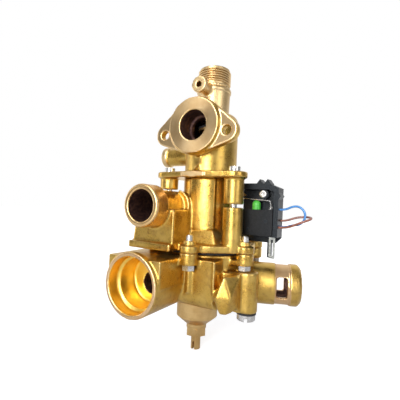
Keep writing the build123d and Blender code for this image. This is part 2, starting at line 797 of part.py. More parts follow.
# Lower casting: bowl under the diaphragm, cup, core block, arm with its clip window, plug boss
with BuildPart() as lower_body:
    bowl_side_h = bowl_foot_h + bowl_r - bowl_foot_r
    turn(
        [
            (0, bowl_top_h),
            (bowl_r, bowl_top_h),
            (bowl_r, bowl_side_h),
            (bowl_foot_r, bowl_foot_h),
            (0, bowl_foot_h),
        ]
    )
    for place in clamp_places:
        with BuildSketch(level(clamp_boss_bottom_h)):
            with Locations(place):
                Circle(clamp_boss_r)
            with Locations((place[0] * clamp_web_reach, place[1] * clamp_web_reach)):
                Circle(clamp_web_r)
            make_hull()
        extrude(amount=clamp_web_top_h - clamp_boss_bottom_h)
        rod(level(clamp_boss_bottom_h, *place), clamp_boss_r, middle_flange_bottom_h - clamp_boss_bottom_h)
    # Cup: a block with a flat top and a round belly, behind a round rim
    with BuildSketch(facing(cup_face_y, ports_x, cup_h)):
        Circle(cup_r)
        with Locations((0, cup_r / 2)):
            Rectangle(2 * cup_block_half_width, cup_r)
        with Locations((0, cup_block_top_h - cup_h + cup_r)):
            Rectangle(4 * cup_r, 2 * cup_r, mode=Mode.SUBTRACT)
    extrude(amount=cup_face_y - cup_block_back_y)
    rod(facing(cup_mouth_y, ports_x, cup_h), cup_r, -cup_rim_length)
    # Core block with a rounded keel
    with BuildSketch(sideways(core_left_x)):
        with BuildLine():
            Polyline(*rectangle(core_front_y, core_back_y, core_bottom_h, core_top_h), close=True)
        core_side = make_face()
        fillet(core_side.vertices().group_by(Axis.Y)[0], radius=core_keel_round)
    extrude(amount=core_right_x - core_left_x)
    rod(level(core_bottom_h, 0, cap_y), core_foot_r, bowl_foot_h - core_bottom_h)
    # Round walls about the two water channels
    channel_r = water_r + water_wall
    rod(facing(cup_block_back_y, ports_x, water_h), channel_r, cup_block_back_y - water_turn_y)
    rod(sideways(ports_x, water_turn_y, water_h), channel_r, -ports_x)
    rod(level(water_h - channel_r, ports_x, water_turn_y), channel_r, 2 * channel_r)
    # Arm, turned about its own axis
    with BuildSketch(arm_plane):
        with BuildLine():
            Polyline(
                (arm_start, 0),
                (arm_start, arm_r),
                (clip_groove_start, arm_r),
                (clip_groove_start, arm_r - clip_groove_depth),
                (clip_groove_end, arm_r - clip_groove_depth),
                (clip_groove_end, arm_r),
                (arm_length - arm_dome, arm_r),
                (arm_length, arm_r - arm_rim),
                (arm_length, 0),
                close=True,
            )
        make_face()
    revolve(axis=arm_axis)
    with BuildSketch(level(plug_boss_bottom_h)):
        with Locations((plug_boss_x, plug_boss_y)):
            Circle(plug_boss_r)
        with Locations((plug_facet_x, plug_facet_y)):
            Circle(plug_facet_r)
        make_hull()
    extrude(amount=plug_boss_top_h - plug_boss_bottom_h)
    # Wedge on the corner of the core, between the core and the plug boss
    fin_middle_h = (fin_top_h + fin_bottom_h) / 2
    fin_middle_x = (fin_left_x + fin_right_x) / 2
    with BuildSketch(level(fin_middle_h)):
        with BuildLine():
            Polyline(
                (fin_left_x, fin_right_y),
                (fin_middle_x, fin_front_y),
                (fin_right_x, fin_right_y),
                (fin_right_x, fin_back_y),
                (fin_left_x, fin_back_y),
                close=True,
            )
        make_face()
    extrude(amount=(fin_top_h - fin_bottom_h) / 2, both=True)
    # Bores
    ring(0, diaphragm_rim_r, chamber_floor_h, bowl_top_h, mode=Mode.SUBTRACT)
    cup_face = facing(cup_mouth_y, ports_x, cup_h)
    rod(cup_face, cup_bore_r, -cup_bore_depth, mode=Mode.SUBTRACT)
    rod(cup_face, cup_inner_r, -cup_inner_depth, mode=Mode.SUBTRACT)
    channel_face = facing(cup_mouth_y, ports_x, water_h)
    rod(channel_face, water_r, cup_mouth_y - water_turn_y, mode=Mode.SUBTRACT)
    rod(sideways(ports_x, water_turn_y, water_h), water_r, -ports_x, mode=Mode.SUBTRACT)
    foot = level(core_bottom_h, 0, cap_y)
    rod(foot, cap_r + cap_face_margin, -arm_r, mode=Mode.SUBTRACT)
    rod(foot, pocket_r, pocket_top_h - core_bottom_h, mode=Mode.SUBTRACT)
    rod(foot, cap_spigot_r + seat_clearance, cap_spigot_length, mode=Mode.SUBTRACT)
    rod(foot, chamber_inlet_r, chamber_floor_h - core_bottom_h, mode=Mode.SUBTRACT)
    bore_end = arm_length - arm_bore_depth
    with BuildSketch(arm_plane):
        with BuildLine():
            Polyline(
                (0, 0),
                (0, water_r),
                (bore_end - (arm_bore_r - water_r), water_r),
                (bore_end, arm_bore_r),
                (arm_length, arm_bore_r),
                (arm_length, 0),
                close=True,
            )
        make_face()
    revolve(axis=arm_axis, mode=Mode.SUBTRACT)
    with BuildSketch(arm_plane):
        with Locations((clip_window_start + clip_window_width / 2, 0)):
            Rectangle(clip_window_width, clip_window_height)
    extrude(amount=2 * arm_r, both=True, mode=Mode.SUBTRACT)
    cup_hole_plane = Plane(
        origin=(ports_x, flange_reach + cup_mouth_y + cup_hole_inset, cup_h - flange_h),
        z_dir=(cos(radians(cup_hole_angle)), 0, sin(radians(cup_hole_angle))),
    )
    rod(cup_hole_plane, cup_hole_r, cup_inner_r + cup_hole_depth, mode=Mode.SUBTRACT)
    for place in clamp_places:
        boss_foot = level(clamp_boss_bottom_h, *place)
        boss_height = middle_flange_bottom_h - clamp_boss_bottom_h
        rod(boss_foot, clamp_screw_r + seat_clearance, boss_height, mode=Mode.SUBTRACT)
        rod(boss_foot, clamp_head_room_r, -clamp_hex_height - plate_thickness / 3, mode=Mode.SUBTRACT)
    plug_face = level(plug_boss_bottom_h, plug_boss_x, plug_boss_y)
    rod(plug_face, plug_shank_r + seat_clearance, plug_shank_length, mode=Mode.SUBTRACT)
save(lower_body, "lower_body")

# Screws between the upper and middle castings
with BuildPart() as upper_flange_screws:
    for place in tie_places:
        end_h = tie_joint(place) - tie_gap - tie_bite
        rod(level(end_h, *place), tie_screw_r, plate_top_h - end_h)
        rod(level(plate_top_h, *place), tie_head_r, tie_head_height)
        head_top = level(plate_top_h + tie_head_height, *place)
        hexagon(head_top, 2 * tie_socket_r, -tie_socket_depth, mode=Mode.SUBTRACT)
save(upper_flange_screws, "upper_flange_screws")

# Screws of the diaphragm joint, put in from below, with domed tips
with BuildPart() as diaphragm_clamp_screws:
    for place in clamp_places:
        turn(
            [
                (0, clamp_boss_bottom_h),
                (clamp_screw_r, clamp_boss_bottom_h),
                (clamp_screw_r, clamp_tip_h - clamp_screw_r / 2),
                (clamp_screw_r * 0.8, clamp_tip_h - clamp_screw_r / 6),
                (clamp_screw_r * 0.4, clamp_tip_h),
                (0, clamp_tip_h),
            ],
            *place,
        )
        hexagon(level(clamp_boss_bottom_h, *place), clamp_hex_flats, -clamp_hex_height)
save(diaphragm_clamp_screws, "diaphragm_clamp_screws")

# Rubber diaphragm with its clamped rim, and the two plates and nut that hold its middle
with BuildPart() as diaphragm:
    slope_foot_r = diaphragm_rim_r - diaphragm_slope
    turn(
        [
            (bush_hole_r, web_bottom_h),
            (slope_foot_r, web_bottom_h),
            (diaphragm_rim_r - diaphragm_web, -diaphragm_rim_half),
            (diaphragm_outer_r, -diaphragm_rim_half),
            (diaphragm_outer_r, diaphragm_rim_half),
            (diaphragm_rim_r, diaphragm_rim_half),
            (slope_foot_r, web_top_h),
            (bush_hole_r, web_top_h),
        ]
    )
save(diaphragm, "diaphragm")

with BuildPart() as diaphragm_upper_plate:
    ring(bush_hole_r, diaphragm_plate_r, web_top_h, plate_above_h)
save(diaphragm_upper_plate, "diaphragm_upper_plate")

with BuildPart() as diaphragm_lower_plate:
    ring(bush_hole_r, diaphragm_plate_r, plate_below_h, web_bottom_h)
save(diaphragm_lower_plate, "diaphragm_lower_plate")

with BuildPart() as diaphragm_nut:
    hexagon(level(lower_nut_h), nut_flats, nut_height)
    rod(level(lower_nut_h), bush_hole_r, nut_height, mode=Mode.SUBTRACT)
save(diaphragm_nut, "diaphragm_nut")

# Lower spindle, with the shoulder that the diaphragm is clamped against
with BuildPart() as diaphragm_spindle:
    ring(0, spindle_r, lower_nut_h, spindle_joint_h)
    ring(0, shoulder_r, plate_above_h, plate_above_h + shoulder_height)
save(diaphragm_spindle, "diaphragm_spindle")

with BuildPart() as drive_collar:
    ring(bush_hole_r, drive_collar_r, drive_collar_top_h - drive_collar_height, drive_collar_top_h)
save(drive_collar, "drive_collar")

# Upper spindle, with the shoulder that carries the lower valve disc
with BuildPart() as valve_spindle:
    ring(0, spindle_r, spindle_joint_h, upper_nut_top_h + spindle_tip)
    ring(0, shoulder_r, lower_rubber_h - shoulder_height, lower_rubber_h)
save(valve_spindle, "valve_spindle")

# Stepped bushes that the lower spindle slides in, each with a groove for its rubber ring
with BuildPart() as lower_gland_bush:
    ring(bush_hole_r, gland_r, middle_chamber_top_h, lever_pocket_bottom_h)
    ring(bush_hole_r, gland_flange_r, middle_chamber_top_h, middle_chamber_top_h + gland_flange_thickness)
    seal_groove(spindle_r, bush_hole_r + seal_groove_depth, lower_groove_h)
save(lower_gland_bush, "lower_gland_bush")

with BuildPart() as lower_gland_seal:
    seal(bush_hole_r + seal_section_r, lower_groove_h)
save(lower_gland_seal, "lower_gland_seal")

with BuildPart() as upper_gland_bush:
    ring(bush_hole_r, gland_r, lever_pocket_top_h, spigot_top_h)
    ring(bush_hole_r, gland_flange_r, spigot_top_h - gland_flange_thickness, spigot_top_h)
    seal_groove(spindle_r, bush_hole_r + seal_groove_depth, upper_groove_h)
save(upper_gland_bush, "upper_gland_bush")

with BuildPart() as upper_gland_seal:
    seal(bush_hole_r + seal_section_r, upper_groove_h)
save(upper_gland_seal, "upper_gland_seal")

with BuildPart() as body_seal:
    seal(upper_chamber_r - seal_section_r - running_clearance / 2, spigot_groove_h)
save(body_seal, "body_seal")

# Seat ring pushed up against the step in the upper casting
with BuildPart() as lower_valve_seat:
    turn(
        [
            (lower_seat_hole_r, lower_seat_h + lower_seat_chamfer),
            (lower_seat_hole_r + lower_seat_chamfer, lower_seat_h),
            (upper_chamber_r - seat_clearance, lower_seat_h),
            (upper_chamber_r - seat_clearance, lower_seat_top_h),
            (lower_seat_hole_r, lower_seat_top_h),
        ]
    )
save(lower_valve_seat, "lower_valve_seat")

# Valve discs with their rubber facings, from the bottom up
with BuildPart() as lower_valve_rubber:
    ring(bush_hole_r, disc_r, lower_rubber_h, lower_disc_h)
save(lower_valve_rubber, "lower_valve_rubber")

with BuildPart() as lower_valve_disc:
    ring(bush_hole_r, disc_r, lower_disc_h, lower_disc_top_h)
save(lower_valve_disc, "lower_valve_disc")

with BuildPart() as disc_spacer:
    ring(bush_hole_r, spacer_r, lower_disc_top_h, upper_disc_h)
save(disc_spacer, "disc_spacer")

with BuildPart() as upper_valve_disc:
    ring(bush_hole_r, disc_r, upper_disc_h, upper_disc_top_h)
save(upper_valve_disc, "upper_valve_disc")

with BuildPart() as upper_valve_rubber:
    ring(bush_hole_r, disc_r, upper_disc_top_h, upper_rubber_top_h)
save(upper_valve_rubber, "upper_valve_rubber")

with BuildPart() as spring_cup:
    ring(bush_hole_r, spring_cup_r, upper_rubber_top_h, spring_bottom_h)
save(spring_cup, "spring_cup")

with BuildPart() as spindle_nut:
    hexagon(level(spring_bottom_h), nut_flats, nut_height)
    rod(level(spring_bottom_h), bush_hole_r, nut_height, mode=Mode.SUBTRACT)
save(spindle_nut, "spindle_nut")

# Return spring, standing between the spring cup and the retainer
with BuildPart() as return_spring:
    spring_low_h = spring_bottom_h + spring_wire_r + seat_clearance
    spring_height = retainer_h - spring_wire_r - seat_clearance - spring_low_h
    with BuildLine(level(spring_low_h)):
        coil = Helix(spring_height / spring_turns, spring_height, spring_mean_r)
    with BuildSketch(Plane(origin=coil @ 0, z_dir=coil % 0)):
        Circle(spring_wire_r)
    sweep(path=coil, is_frenet=True)
save(return_spring, "return_spring")

# Perforated plate that holds the spring down, and the snap ring above it
with BuildPart() as spring_retainer:
    rod(level(retainer_h), tube_bore_r - seat_clearance, retainer_thickness)
    for i in range(retainer_hole_count):
        place = on_circle(retainer_hole_circle_r, 360 / retainer_hole_count * i)
        rod(level(retainer_h, *place), retainer_hole_r, retainer_thickness, mode=Mode.SUBTRACT)
    rod(level(retainer_h), bush_hole_r, retainer_thickness, mode=Mode.SUBTRACT)
save(spring_retainer, "spring_retainer")

with BuildPart() as retainer_ring:
    ring_outer_r = tube_bore_r + snap_ring_bite - seat_clearance
    ring(ring_outer_r - snap_ring_width, ring_outer_r, snap_ring_h, snap_ring_h + snap_ring_height)
    slab(
        level(snap_ring_h),
        rectangle(-snap_ring_gap / 2, snap_ring_gap / 2, 0, ring_outer_r),
        snap_ring_height,
        mode=Mode.SUBTRACT,
    )
save(retainer_ring, "retainer_ring")

# Drain plug in the lower casting, with its washer
with BuildPart() as plug_screw:
    plug_foot = level(plug_head_h, plug_boss_x, plug_boss_y)
    rod(plug_foot, plug_head_r, plug_head_height)
    chamfer(plug_screw.edges().group_by(Axis.Z)[0], length=plug_head_chamfer)
    rod(plug_foot, plug_shank_r, plug_head_height + plug_washer_thickness + plug_shank_length)
    with BuildSketch(plug_foot):
        Rectangle(plug_slot_width, 2 * plug_head_r, rotation=arm_angle)
    extrude(amount=plug_slot_depth, mode=Mode.SUBTRACT)
save(plug_screw, "plug_screw")

with BuildPart() as plug_washer:
    washer_bottom_h = plug_boss_bottom_h - plug_washer_thickness
    washer_hole_r = plug_shank_r + seat_clearance
    ring(washer_hole_r, plug_washer_r, washer_bottom_h, plug_boss_bottom_h, plug_boss_x, plug_boss_y)
save(plug_washer, "plug_washer")

# Bottom cap with its packing gland and the adjusting spindle
with BuildPart() as bottom_cap:
    cap_top_h = core_bottom_h + cap_spigot_length
    stem_hole_r = adjuster_r + running_clearance
    turn(
        [
            (0, cap_top_h),
            (cap_spigot_r, cap_top_h),
            (cap_spigot_r, core_bottom_h),
            (cap_r, core_bottom_h),
            (cap_r, cap_side_bottom_h),
            (cap_cone_r, cap_cone_bottom_h),
            (0, cap_cone_bottom_h),
        ],
        y=cap_y,
    )
    ring(0, stem_hole_r, cap_cone_bottom_h, cap_top_h, y=cap_y, mode=Mode.SUBTRACT)
    ring(0, packing_r + seat_clearance, cap_cone_bottom_h, gland_nut_end_h, y=cap_y, mode=Mode.SUBTRACT)
    seal_groove(cap_spigot_r + seat_clearance - seal_groove_depth, cap_r, cap_groove_h, y=cap_y)
    seal_groove(adjuster_r, stem_hole_r + seal_groove_depth, stem_groove_h, y=cap_y)
save(bottom_cap, "bottom_cap")

with BuildPart() as cap_seal:
    seal(cap_spigot_r + seat_clearance / 2 - seal_section_r, cap_groove_h, y=cap_y)
save(cap_seal, "cap_seal")

with BuildPart() as adjusting_spindle_seal:
    seal(stem_hole_r + seal_section_r, stem_groove_h, y=cap_y)
save(adjusting_spindle_seal, "adjusting_spindle_seal")

with BuildPart() as gland_nut:
    hexagon(level(gland_nut_bottom_h, 0, cap_y), gland_nut_flats, gland_nut_height)
    rod(level(gland_nut_hex_h, 0, cap_y), gland_nut_collar_r, gland_nut_collar_height)
    rod(level(cap_cone_bottom_h, 0, cap_y), packing_r, gland_nut_shank_length)
    ring(0, stem_hole_r, gland_nut_bottom_h, gland_nut_end_h, y=cap_y, mode=Mode.SUBTRACT)
save(gland_nut, "gland_nut")

with BuildPart() as adjusting_spindle:
    adjuster_foot = level(adjuster_bottom_h, 0, cap_y)
    rod(adjuster_foot, adjuster_r, adjuster_head_h - adjuster_bottom_h)
    turn(
        [
            (0, adjuster_head_h),
            (adjuster_head_r, adjuster_head_h),
            (adjuster_head_r, adjuster_head_h + adjuster_head_height / 2),
            (adjuster_r, adjuster_head_h + adjuster_head_height),
            (0, adjuster_head_h + adjuster_head_height),
        ],
        y=cap_y,
    )
    with BuildSketch(adjuster_foot):
        Rectangle(adjuster_slot_width, 2 * adjuster_r)
    extrude(amount=adjuster_slot_depth, mode=Mode.SUBTRACT)
save(adjusting_spindle, "adjusting_spindle")

# Lever with its hub and pointed nose, and the pin it turns on
with BuildPart() as actuating_lever:
    with BuildSketch(facing(-lever_thickness / 2)):
        with Locations((lever_pivot_x, lever_pivot_h)):
            Circle(lever_hub_r)
        with Locations(((lever_arm_end_x + lever_pivot_x) / 2, lever_pivot_h)):
            Rectangle(lever_pivot_x - lever_arm_end_x, lever_arm_height)
        with BuildLine():
            Polyline(
                (lever_pivot_x, lever_pivot_h - lever_hub_r),
                (lever_nose_heel_x, lever_nose_heel_h),
                (lever_nose_x, lever_nose_h),
                (lever_nose_top_x, lever_nose_top_h),
                (lever_pivot_x, lever_pivot_h + lever_hub_r),
                close=True,
            )
        make_face()
        with Locations((lever_pivot_x, lever_pivot_h)):
            Circle(lever_pin_r + running_clearance, mode=Mode.SUBTRACT)
    extrude(amount=-lever_thickness)
save(actuating_lever, "actuating_lever")

with BuildPart() as lever_pin:
    rod(pin_face, lever_pin_r, -2 * lug_outer_y)
save(lever_pin, "lever_pin")

# Moulded bracket: back plate, toothed top bar, side rim, screw tab and leg
with BuildPart() as switch_bracket:
    slab(
        facing(bracket_back_y),
        [
            (bracket_tab_left_x, bracket_bottom_h),
            (bracket_tab_left_x, bracket_tab_top_h),
            (bracket_left_x, bracket_tab_top_h),
            (bracket_left_x, bracket_top_h),
            (bracket_corner_x, bracket_top_h),
            (bracket_right_x, bracket_top_right_h),
            (bracket_right_x, bracket_bottom_h + bracket_chamfer),
            (bracket_right_x - bracket_chamfer, bracket_bottom_h),
        ],
        bracket_plate,
    )
    bar_bottom_h = bracket_top_h - bracket_bar_height
    bar_reach = plate_front_y - bracket_bar_front_y
    slab(
        facing(plate_front_y),
        [
            (bracket_left_x, bar_bottom_h),
            (bracket_left_x, bracket_top_h),
            (bracket_corner_x, bracket_top_h),
            (bracket_right_x, bracket_top_right_h),
            (bracket_right_x, bracket_top_right_h - bracket_bar_height),
            (bracket_corner_x, bar_bottom_h),
        ],
        bar_reach,
    )
    for x in tooth_xs:
        slab(
            facing(plate_front_y),
            [
                (x - tooth_half_width, bar_bottom_h + tooth_height / 2),
                (x - tooth_half_width, bracket_top_h),
                (x, bracket_top_h + tooth_height),
                (x + tooth_half_width, bracket_top_h),
                (x + tooth_half_width, bar_bottom_h + tooth_height / 2),
            ],
            bar_reach,
        )
    rim_left_x = bracket_right_x - bracket_rim_width
    slab(
        facing(plate_front_y),
        [
            (rim_left_x, bracket_rim_bottom_h),
            (bracket_right_x, bracket_rim_bottom_h),
            (bracket_right_x, side_tooth_h - tooth_half_width),
            (bracket_right_x + tooth_height / 2, side_tooth_h),
            (bracket_right_x, side_tooth_h + tooth_half_width),
            (bracket_right_x, bracket_top_right_h),
            (rim_left_x, bracket_top_right_h),
        ],
        plate_front_y - bracket_rim_front_y,
    )
    slab(
        level(bracket_leg_bottom_h),
        rectangle(
            bracket_leg_x,
            bracket_leg_x + bracket_leg_width,
            bracket_back_y - bracket_leg_depth,
            bracket_back_y,
        ),
        bracket_bottom_h + bracket_plate - bracket_leg_bottom_h,
    )
    boss_reach = plate_front_y - switch_screw_boss_front_y
    rod(facing(plate_front_y, switch_screw_x, switch_screw_h), switch_screw_boss_r, boss_reach)
    for place in case_peg_places:
        rod(facing(plate_front_y, *place), case_hole_r, plate_front_y - case_front_y)
    screw_face = facing(switch_screw_boss_front_y, switch_screw_x, switch_screw_h)
    rod(screw_face, switch_screw_r + seat_clearance, -switch_screw_length, mode=Mode.SUBTRACT)
    tab_face = facing(plate_front_y, bracket_screw_x, bracket_screw_h)
    rod(tab_face, bracket_screw_r + seat_clearance, -bracket_plate, mode=Mode.SUBTRACT)
save(switch_bracket, "switch_bracket")

with BuildPart() as switch_screw:
    rod(screw_face, switch_screw_head_r, switch_screw_head_height)
    fillet(switch_screw.edges().group_by(Axis.Y)[0], radius=switch_screw_head_height / 2)
    rod(screw_face, switch_screw_r, -switch_screw_length)
    screw_front_y = switch_screw_boss_front_y - switch_screw_head_height
    socket_face = facing(screw_front_y, switch_screw_x, switch_screw_h)
    rod(socket_face, switch_screw_socket_r, -switch_screw_head_height / 2, mode=Mode.SUBTRACT)
save(switch_screw, "switch_screw")

with BuildPart() as bracket_screw:
    rod(tab_face, bracket_screw_head_r, bracket_screw_head_height)
    rod(tab_face, bracket_screw_r, -bracket_screw_length)
    slot_y = plate_front_y - bracket_screw_head_height
    with BuildSketch(facing(slot_y, bracket_screw_x, bracket_screw_h)):
        Rectangle(bracket_screw_slot, 2 * bracket_screw_head_r)
    extrude(amount=-bracket_screw_head_height / 2, mode=Mode.SUBTRACT)
save(bracket_screw, "bracket_screw")

# Switch case with a well for the plunger, a cradle for the blade and two holes for pegs
with BuildPart() as switch_case:
    with BuildSketch(facing(plate_front_y)):
        with BuildLine():
            Polyline(*rectangle(case_left_x, case_right_x, case_bottom_h, case_top_h), close=True)
        case_face = make_face()
        fillet(case_face.vertices(), radius=case_round)
        cradle_left_x = case_right_x - cradle_width
        with BuildLine():
            Polyline(
                (cradle_left_x, case_top_h - cradle_height),
                (case_right_x, case_top_h - cradle_height),
                (case_right_x, case_top_h + cradle_height),
                (cradle_left_x, case_top_h + cradle_height / 2),
                close=True,
            )
        make_face()
        with Locations((blade_hinge_x, blade_hinge_h)):
            Circle(blade_hinge_r + blade_hinge_clearance, mode=Mode.SUBTRACT)
        with BuildLine():
            Polyline(
                (blade_hinge_x - blade_hinge_r, blade_hinge_h),
                (cradle_left_x - case_round, blade_corner_h),
                (case_right_x, blade_corner_h),
                (blade_hinge_x + blade_hinge_r, blade_hinge_h),
                close=True,
            )
        make_face(mode=Mode.SUBTRACT)
        with Locations(*case_peg_places):
            Circle(case_hole_r + seat_clearance, mode=Mode.SUBTRACT)
    extrude(amount=plate_front_y - case_front_y)
    well_mouth = level(case_top_h, plunger_x, plunger_y)
    rod(well_mouth, plunger_r + plunger_clearance, -plunger_well, mode=Mode.SUBTRACT)
save(switch_case, "switch_case")

with BuildPart() as switch_plunger:
    plunger_round_h = plunger_top_h - plunger_r
    with BuildSketch(facing(plunger_y, plunger_x)):
        with BuildLine():
            Polyline(
                (0, plunger_top_h),
                (0, case_top_h - plunger_foot),
                (plunger_r, case_top_h - plunger_foot),
                (plunger_r, plunger_round_h),
            )
            CenterArc((0, plunger_round_h), plunger_r, 0, 90)
        make_face()
    revolve(axis=upright_axis(plunger_x, plunger_y))
save(switch_plunger, "switch_plunger")

# Bent spring-steel blade with a rolled foot
with BuildPart() as switch_blade:
    with BuildSketch(facing(plunger_y - blade_width / 2)):
        with BuildLine() as blade_line:
            Polyline(
                (blade_hinge_x, blade_hinge_h),
                (blade_corner_x, blade_corner_h),
                (blade_tip_x, blade_tip_h),
            )
            offset(amount=blade_thickness / 2)
        make_face()
        with Locations((blade_hinge_x, blade_hinge_h)):
            Circle(blade_hinge_r)
    extrude(amount=-blade_width)
save(switch_blade, "switch_blade")

# Slotted terminal under the case
with BuildPart() as terminal:
    terminal_height = bracket_rim_bottom_h - terminal_bottom_h
    with BuildSketch(facing(terminal_y, terminal_x + terminal_width / 2, terminal_bottom_h)):
        with Locations((0, terminal_height / 2)):
            Rectangle(terminal_width, terminal_height)
            Rectangle(terminal_slot_width, terminal_height - 2 * terminal_slot_margin, mode=Mode.SUBTRACT)
    extrude(amount=terminal_thickness)
save(terminal, "terminal")


# Wires: straight runs joined by arcs, from the bracket's rim out and back to it
def wire_radii(points):
    """One radius for each corner, as large as its two runs allow."""
    radii = []
    for before, corner, after in zip(points, points[1:], points[2:]):
        first = Vector(*corner) - Vector(*before)
        second = Vector(*after) - Vector(*corner)
        turn_angle = radians(first.get_angle(second))
        radii.append(0.45 * min(first.length, second.length) / tan(turn_angle / 2))
    return radii


def wire(points, name):
    """Round wire along its route, saved as a node of its own."""
    route = [(x, flange_reach + y, h - flange_h) for x, y, h in points]
    radii = wire_radii(route)
    with BuildPart() as piece:
        with BuildLine() as line:
            FilletPolyline(*route, radius=radii)
        path = line.wires()[0]
        with BuildSketch(Plane(origin=path @ 0, z_dir=path % 0)):
            Circle(wire_r)
        sweep(path=path)
    ratio = piece.part.volume / (pi * wire_r**2 * path.length)
    print(f"{name}: length {path.length:.1f}, least radius {min(radii):.1f}, volume ratio {ratio:.4f}")
    save(piece, name)


blue_route = [
    (bracket_right_x, 3.0, 33.3),
    (61.0, 3.0, 33.3),
    (66.5, 2.0, 36.1),
    (71.3, 1.2, 36.0),
    (75.1, 0.9, 32.3),
    (75.1, 0.9, 26.9),
    (71.3, 1.8, 23.1),
    (66.0, 4.2, 22.6),
    (61.0, 5.4, 20.6),
    (bracket_right_x, 5.4, 20.6),
]
brown_route = [
    (bracket_right_x, 6.4, 25.2),
    (61.0, 6.4, 25.2),
    (68.0, 7.3, 28.2),
    (74.9, 8.1, 28.9),
    (78.9, 4.7, 28.5),
    (78.9, -0.5, 27.3),
    (75.1, -3.9, 25.8),
    (69.0, -2.6, 23.0),
    (62.0, 1.0, 20.4),
    (bracket_right_x, 1.0, 20.4),
]
wire(blue_route, "blue_wire")
wire(brown_route, "brown_wire")
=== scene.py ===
# %% [markdown]
# # A brass diverter valve
# A diverter valve sits inside a boiler that heats both radiators and tap water. Water flowing through its
# lowest casting lifts a rubber diaphragm, the diaphragm's spindle moves two valve discs, and a lever presses a
# small switch. This lesson dresses the measured solids of that valve: cast brass, turned brass, black plastic
# and two short wires. The solids could be drawn again from nothing, but then two models would have to agree, so
# the lesson keeps them, gives them finishes, and makes new pieces only where a solid is too plain.

# %% Load the solids
from math import cos, radians, sin

import bmesh
import bpy
import numpy as np
from mathutils import Matrix, Vector


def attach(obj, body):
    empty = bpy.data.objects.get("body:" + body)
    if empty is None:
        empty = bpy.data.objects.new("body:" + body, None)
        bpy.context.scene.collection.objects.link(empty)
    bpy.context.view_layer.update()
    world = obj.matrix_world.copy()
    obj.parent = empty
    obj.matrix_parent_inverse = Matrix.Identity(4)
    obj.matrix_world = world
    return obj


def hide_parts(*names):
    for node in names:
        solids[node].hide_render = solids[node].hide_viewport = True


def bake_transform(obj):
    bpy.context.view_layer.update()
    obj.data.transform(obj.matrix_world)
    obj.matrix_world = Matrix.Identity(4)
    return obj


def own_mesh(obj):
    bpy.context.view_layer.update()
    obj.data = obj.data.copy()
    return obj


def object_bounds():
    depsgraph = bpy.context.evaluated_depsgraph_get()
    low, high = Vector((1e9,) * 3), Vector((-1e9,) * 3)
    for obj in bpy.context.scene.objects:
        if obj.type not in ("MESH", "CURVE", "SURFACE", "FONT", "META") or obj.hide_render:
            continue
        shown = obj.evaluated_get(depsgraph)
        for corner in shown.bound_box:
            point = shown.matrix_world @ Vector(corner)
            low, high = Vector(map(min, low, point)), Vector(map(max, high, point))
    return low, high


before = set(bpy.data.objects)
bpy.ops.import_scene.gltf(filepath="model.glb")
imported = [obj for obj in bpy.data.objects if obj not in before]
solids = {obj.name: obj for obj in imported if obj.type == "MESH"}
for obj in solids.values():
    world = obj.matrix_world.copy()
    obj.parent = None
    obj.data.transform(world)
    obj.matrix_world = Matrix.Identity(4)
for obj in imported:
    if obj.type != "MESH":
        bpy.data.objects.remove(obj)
solid_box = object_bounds()
scene = bpy.context.scene
print("solids loaded:", len(solids))

# %% [markdown]
# ## The camera
# The photograph was taken level with the valve, about 30 degrees to the right of its front, and turned by a
# few degrees. The camera's place and its three directions were solved from the round mouths of the valve, so
# they are written down here as they are.

# %% Camera at the photograph's place
camera_place = Vector((0.1161, -0.1838, -0.0581))
camera_right = Vector((0.86402, 0.50142, 0.04535))
camera_up = Vector((-0.03107, -0.03682, 0.99884))
camera_back = Vector((0.50250, -0.86443, -0.01623))
camera = bpy.data.objects.new("camera", bpy.data.cameras.new("camera"))
scene.collection.objects.link(camera)
camera.matrix_world = Matrix(
    (
        (camera_right.x, camera_up.x, camera_back.x, camera_place.x),
        (camera_right.y, camera_up.y, camera_back.y, camera_place.y),
        (camera_right.z, camera_up.z, camera_back.z, camera_place.z),
        (0, 0, 0, 1),
    )
)
camera.data.lens = 27.0
camera.data.sensor_width = 36.0
camera.data.clip_start = 0.01
scene.camera = camera
print("camera distance to the valve:", round(camera_place.length, 3), "m")

# %% [markdown]
# ## Places on the valve
# Heights are easiest to read from the joint between the middle and lower castings, and sideways places from
# the valve's main axis. One helper turns such a place, in millimetres, into metres in the solids' frame.

# %% Helper for places
def place(x, y, h):
    """A point x and y from the main axis and h above the diaphragm joint, in millimetres."""
    return Vector((x / 1000, (31.0 + y) / 1000, (h - 92.2) / 1000))


def mm(size):
    return size / 1000


thread_top_h = 143.5
print("centre of the thread's top:", tuple(round(c, 4) for c in place(0, 0, thread_top_h)), "m")

# %% [markdown]
# ## Building materials from nodes
# Every finish below is a small tree of shader nodes. A picture of the surface could be wrapped round each piece
# instead, but it would have to be unfolded first and would blur close by. Short helpers keep the trees readable:
# one starts a material, one adds a node and wires its inputs, and the others make a noise of a given size,
# stretch its levels, blend two colours and turn a pattern into a bump. Patterns read Object coordinates, so a
# grain of half a millimetre stays half a millimetre on every piece.

# %% Helpers for shader nodes
def add(tree, kind, inputs=None, **settings):
    """Add a shader node; an input is either another node's output or a plain value."""
    made = tree.nodes.new("ShaderNode" + kind)
    for name, value in settings.items():
        setattr(made, name, value)
    for name, value in (inputs or {}).items():
        if isinstance(value, bpy.types.NodeSocket):
            tree.links.new(value, made.inputs[name])
        else:
            made.inputs[name].default_value = value
    return made


def start_material(name, metallic=0.0, roughness=0.4, specular=0.5):
    """A new material with its node tree, its shader and the Object coordinates to draw patterns on."""
    material = bpy.data.materials.new(name)
    material.use_nodes = True
    shader = material.node_tree.nodes["Principled BSDF"]
    shader.inputs["Metallic"].default_value = metallic
    shader.inputs["Roughness"].default_value = roughness
    shader.inputs["Specular IOR Level"].default_value = specular
    position = material.node_tree.nodes.new("ShaderNodeTexCoord").outputs["Object"]
    return material, material.node_tree, shader, position


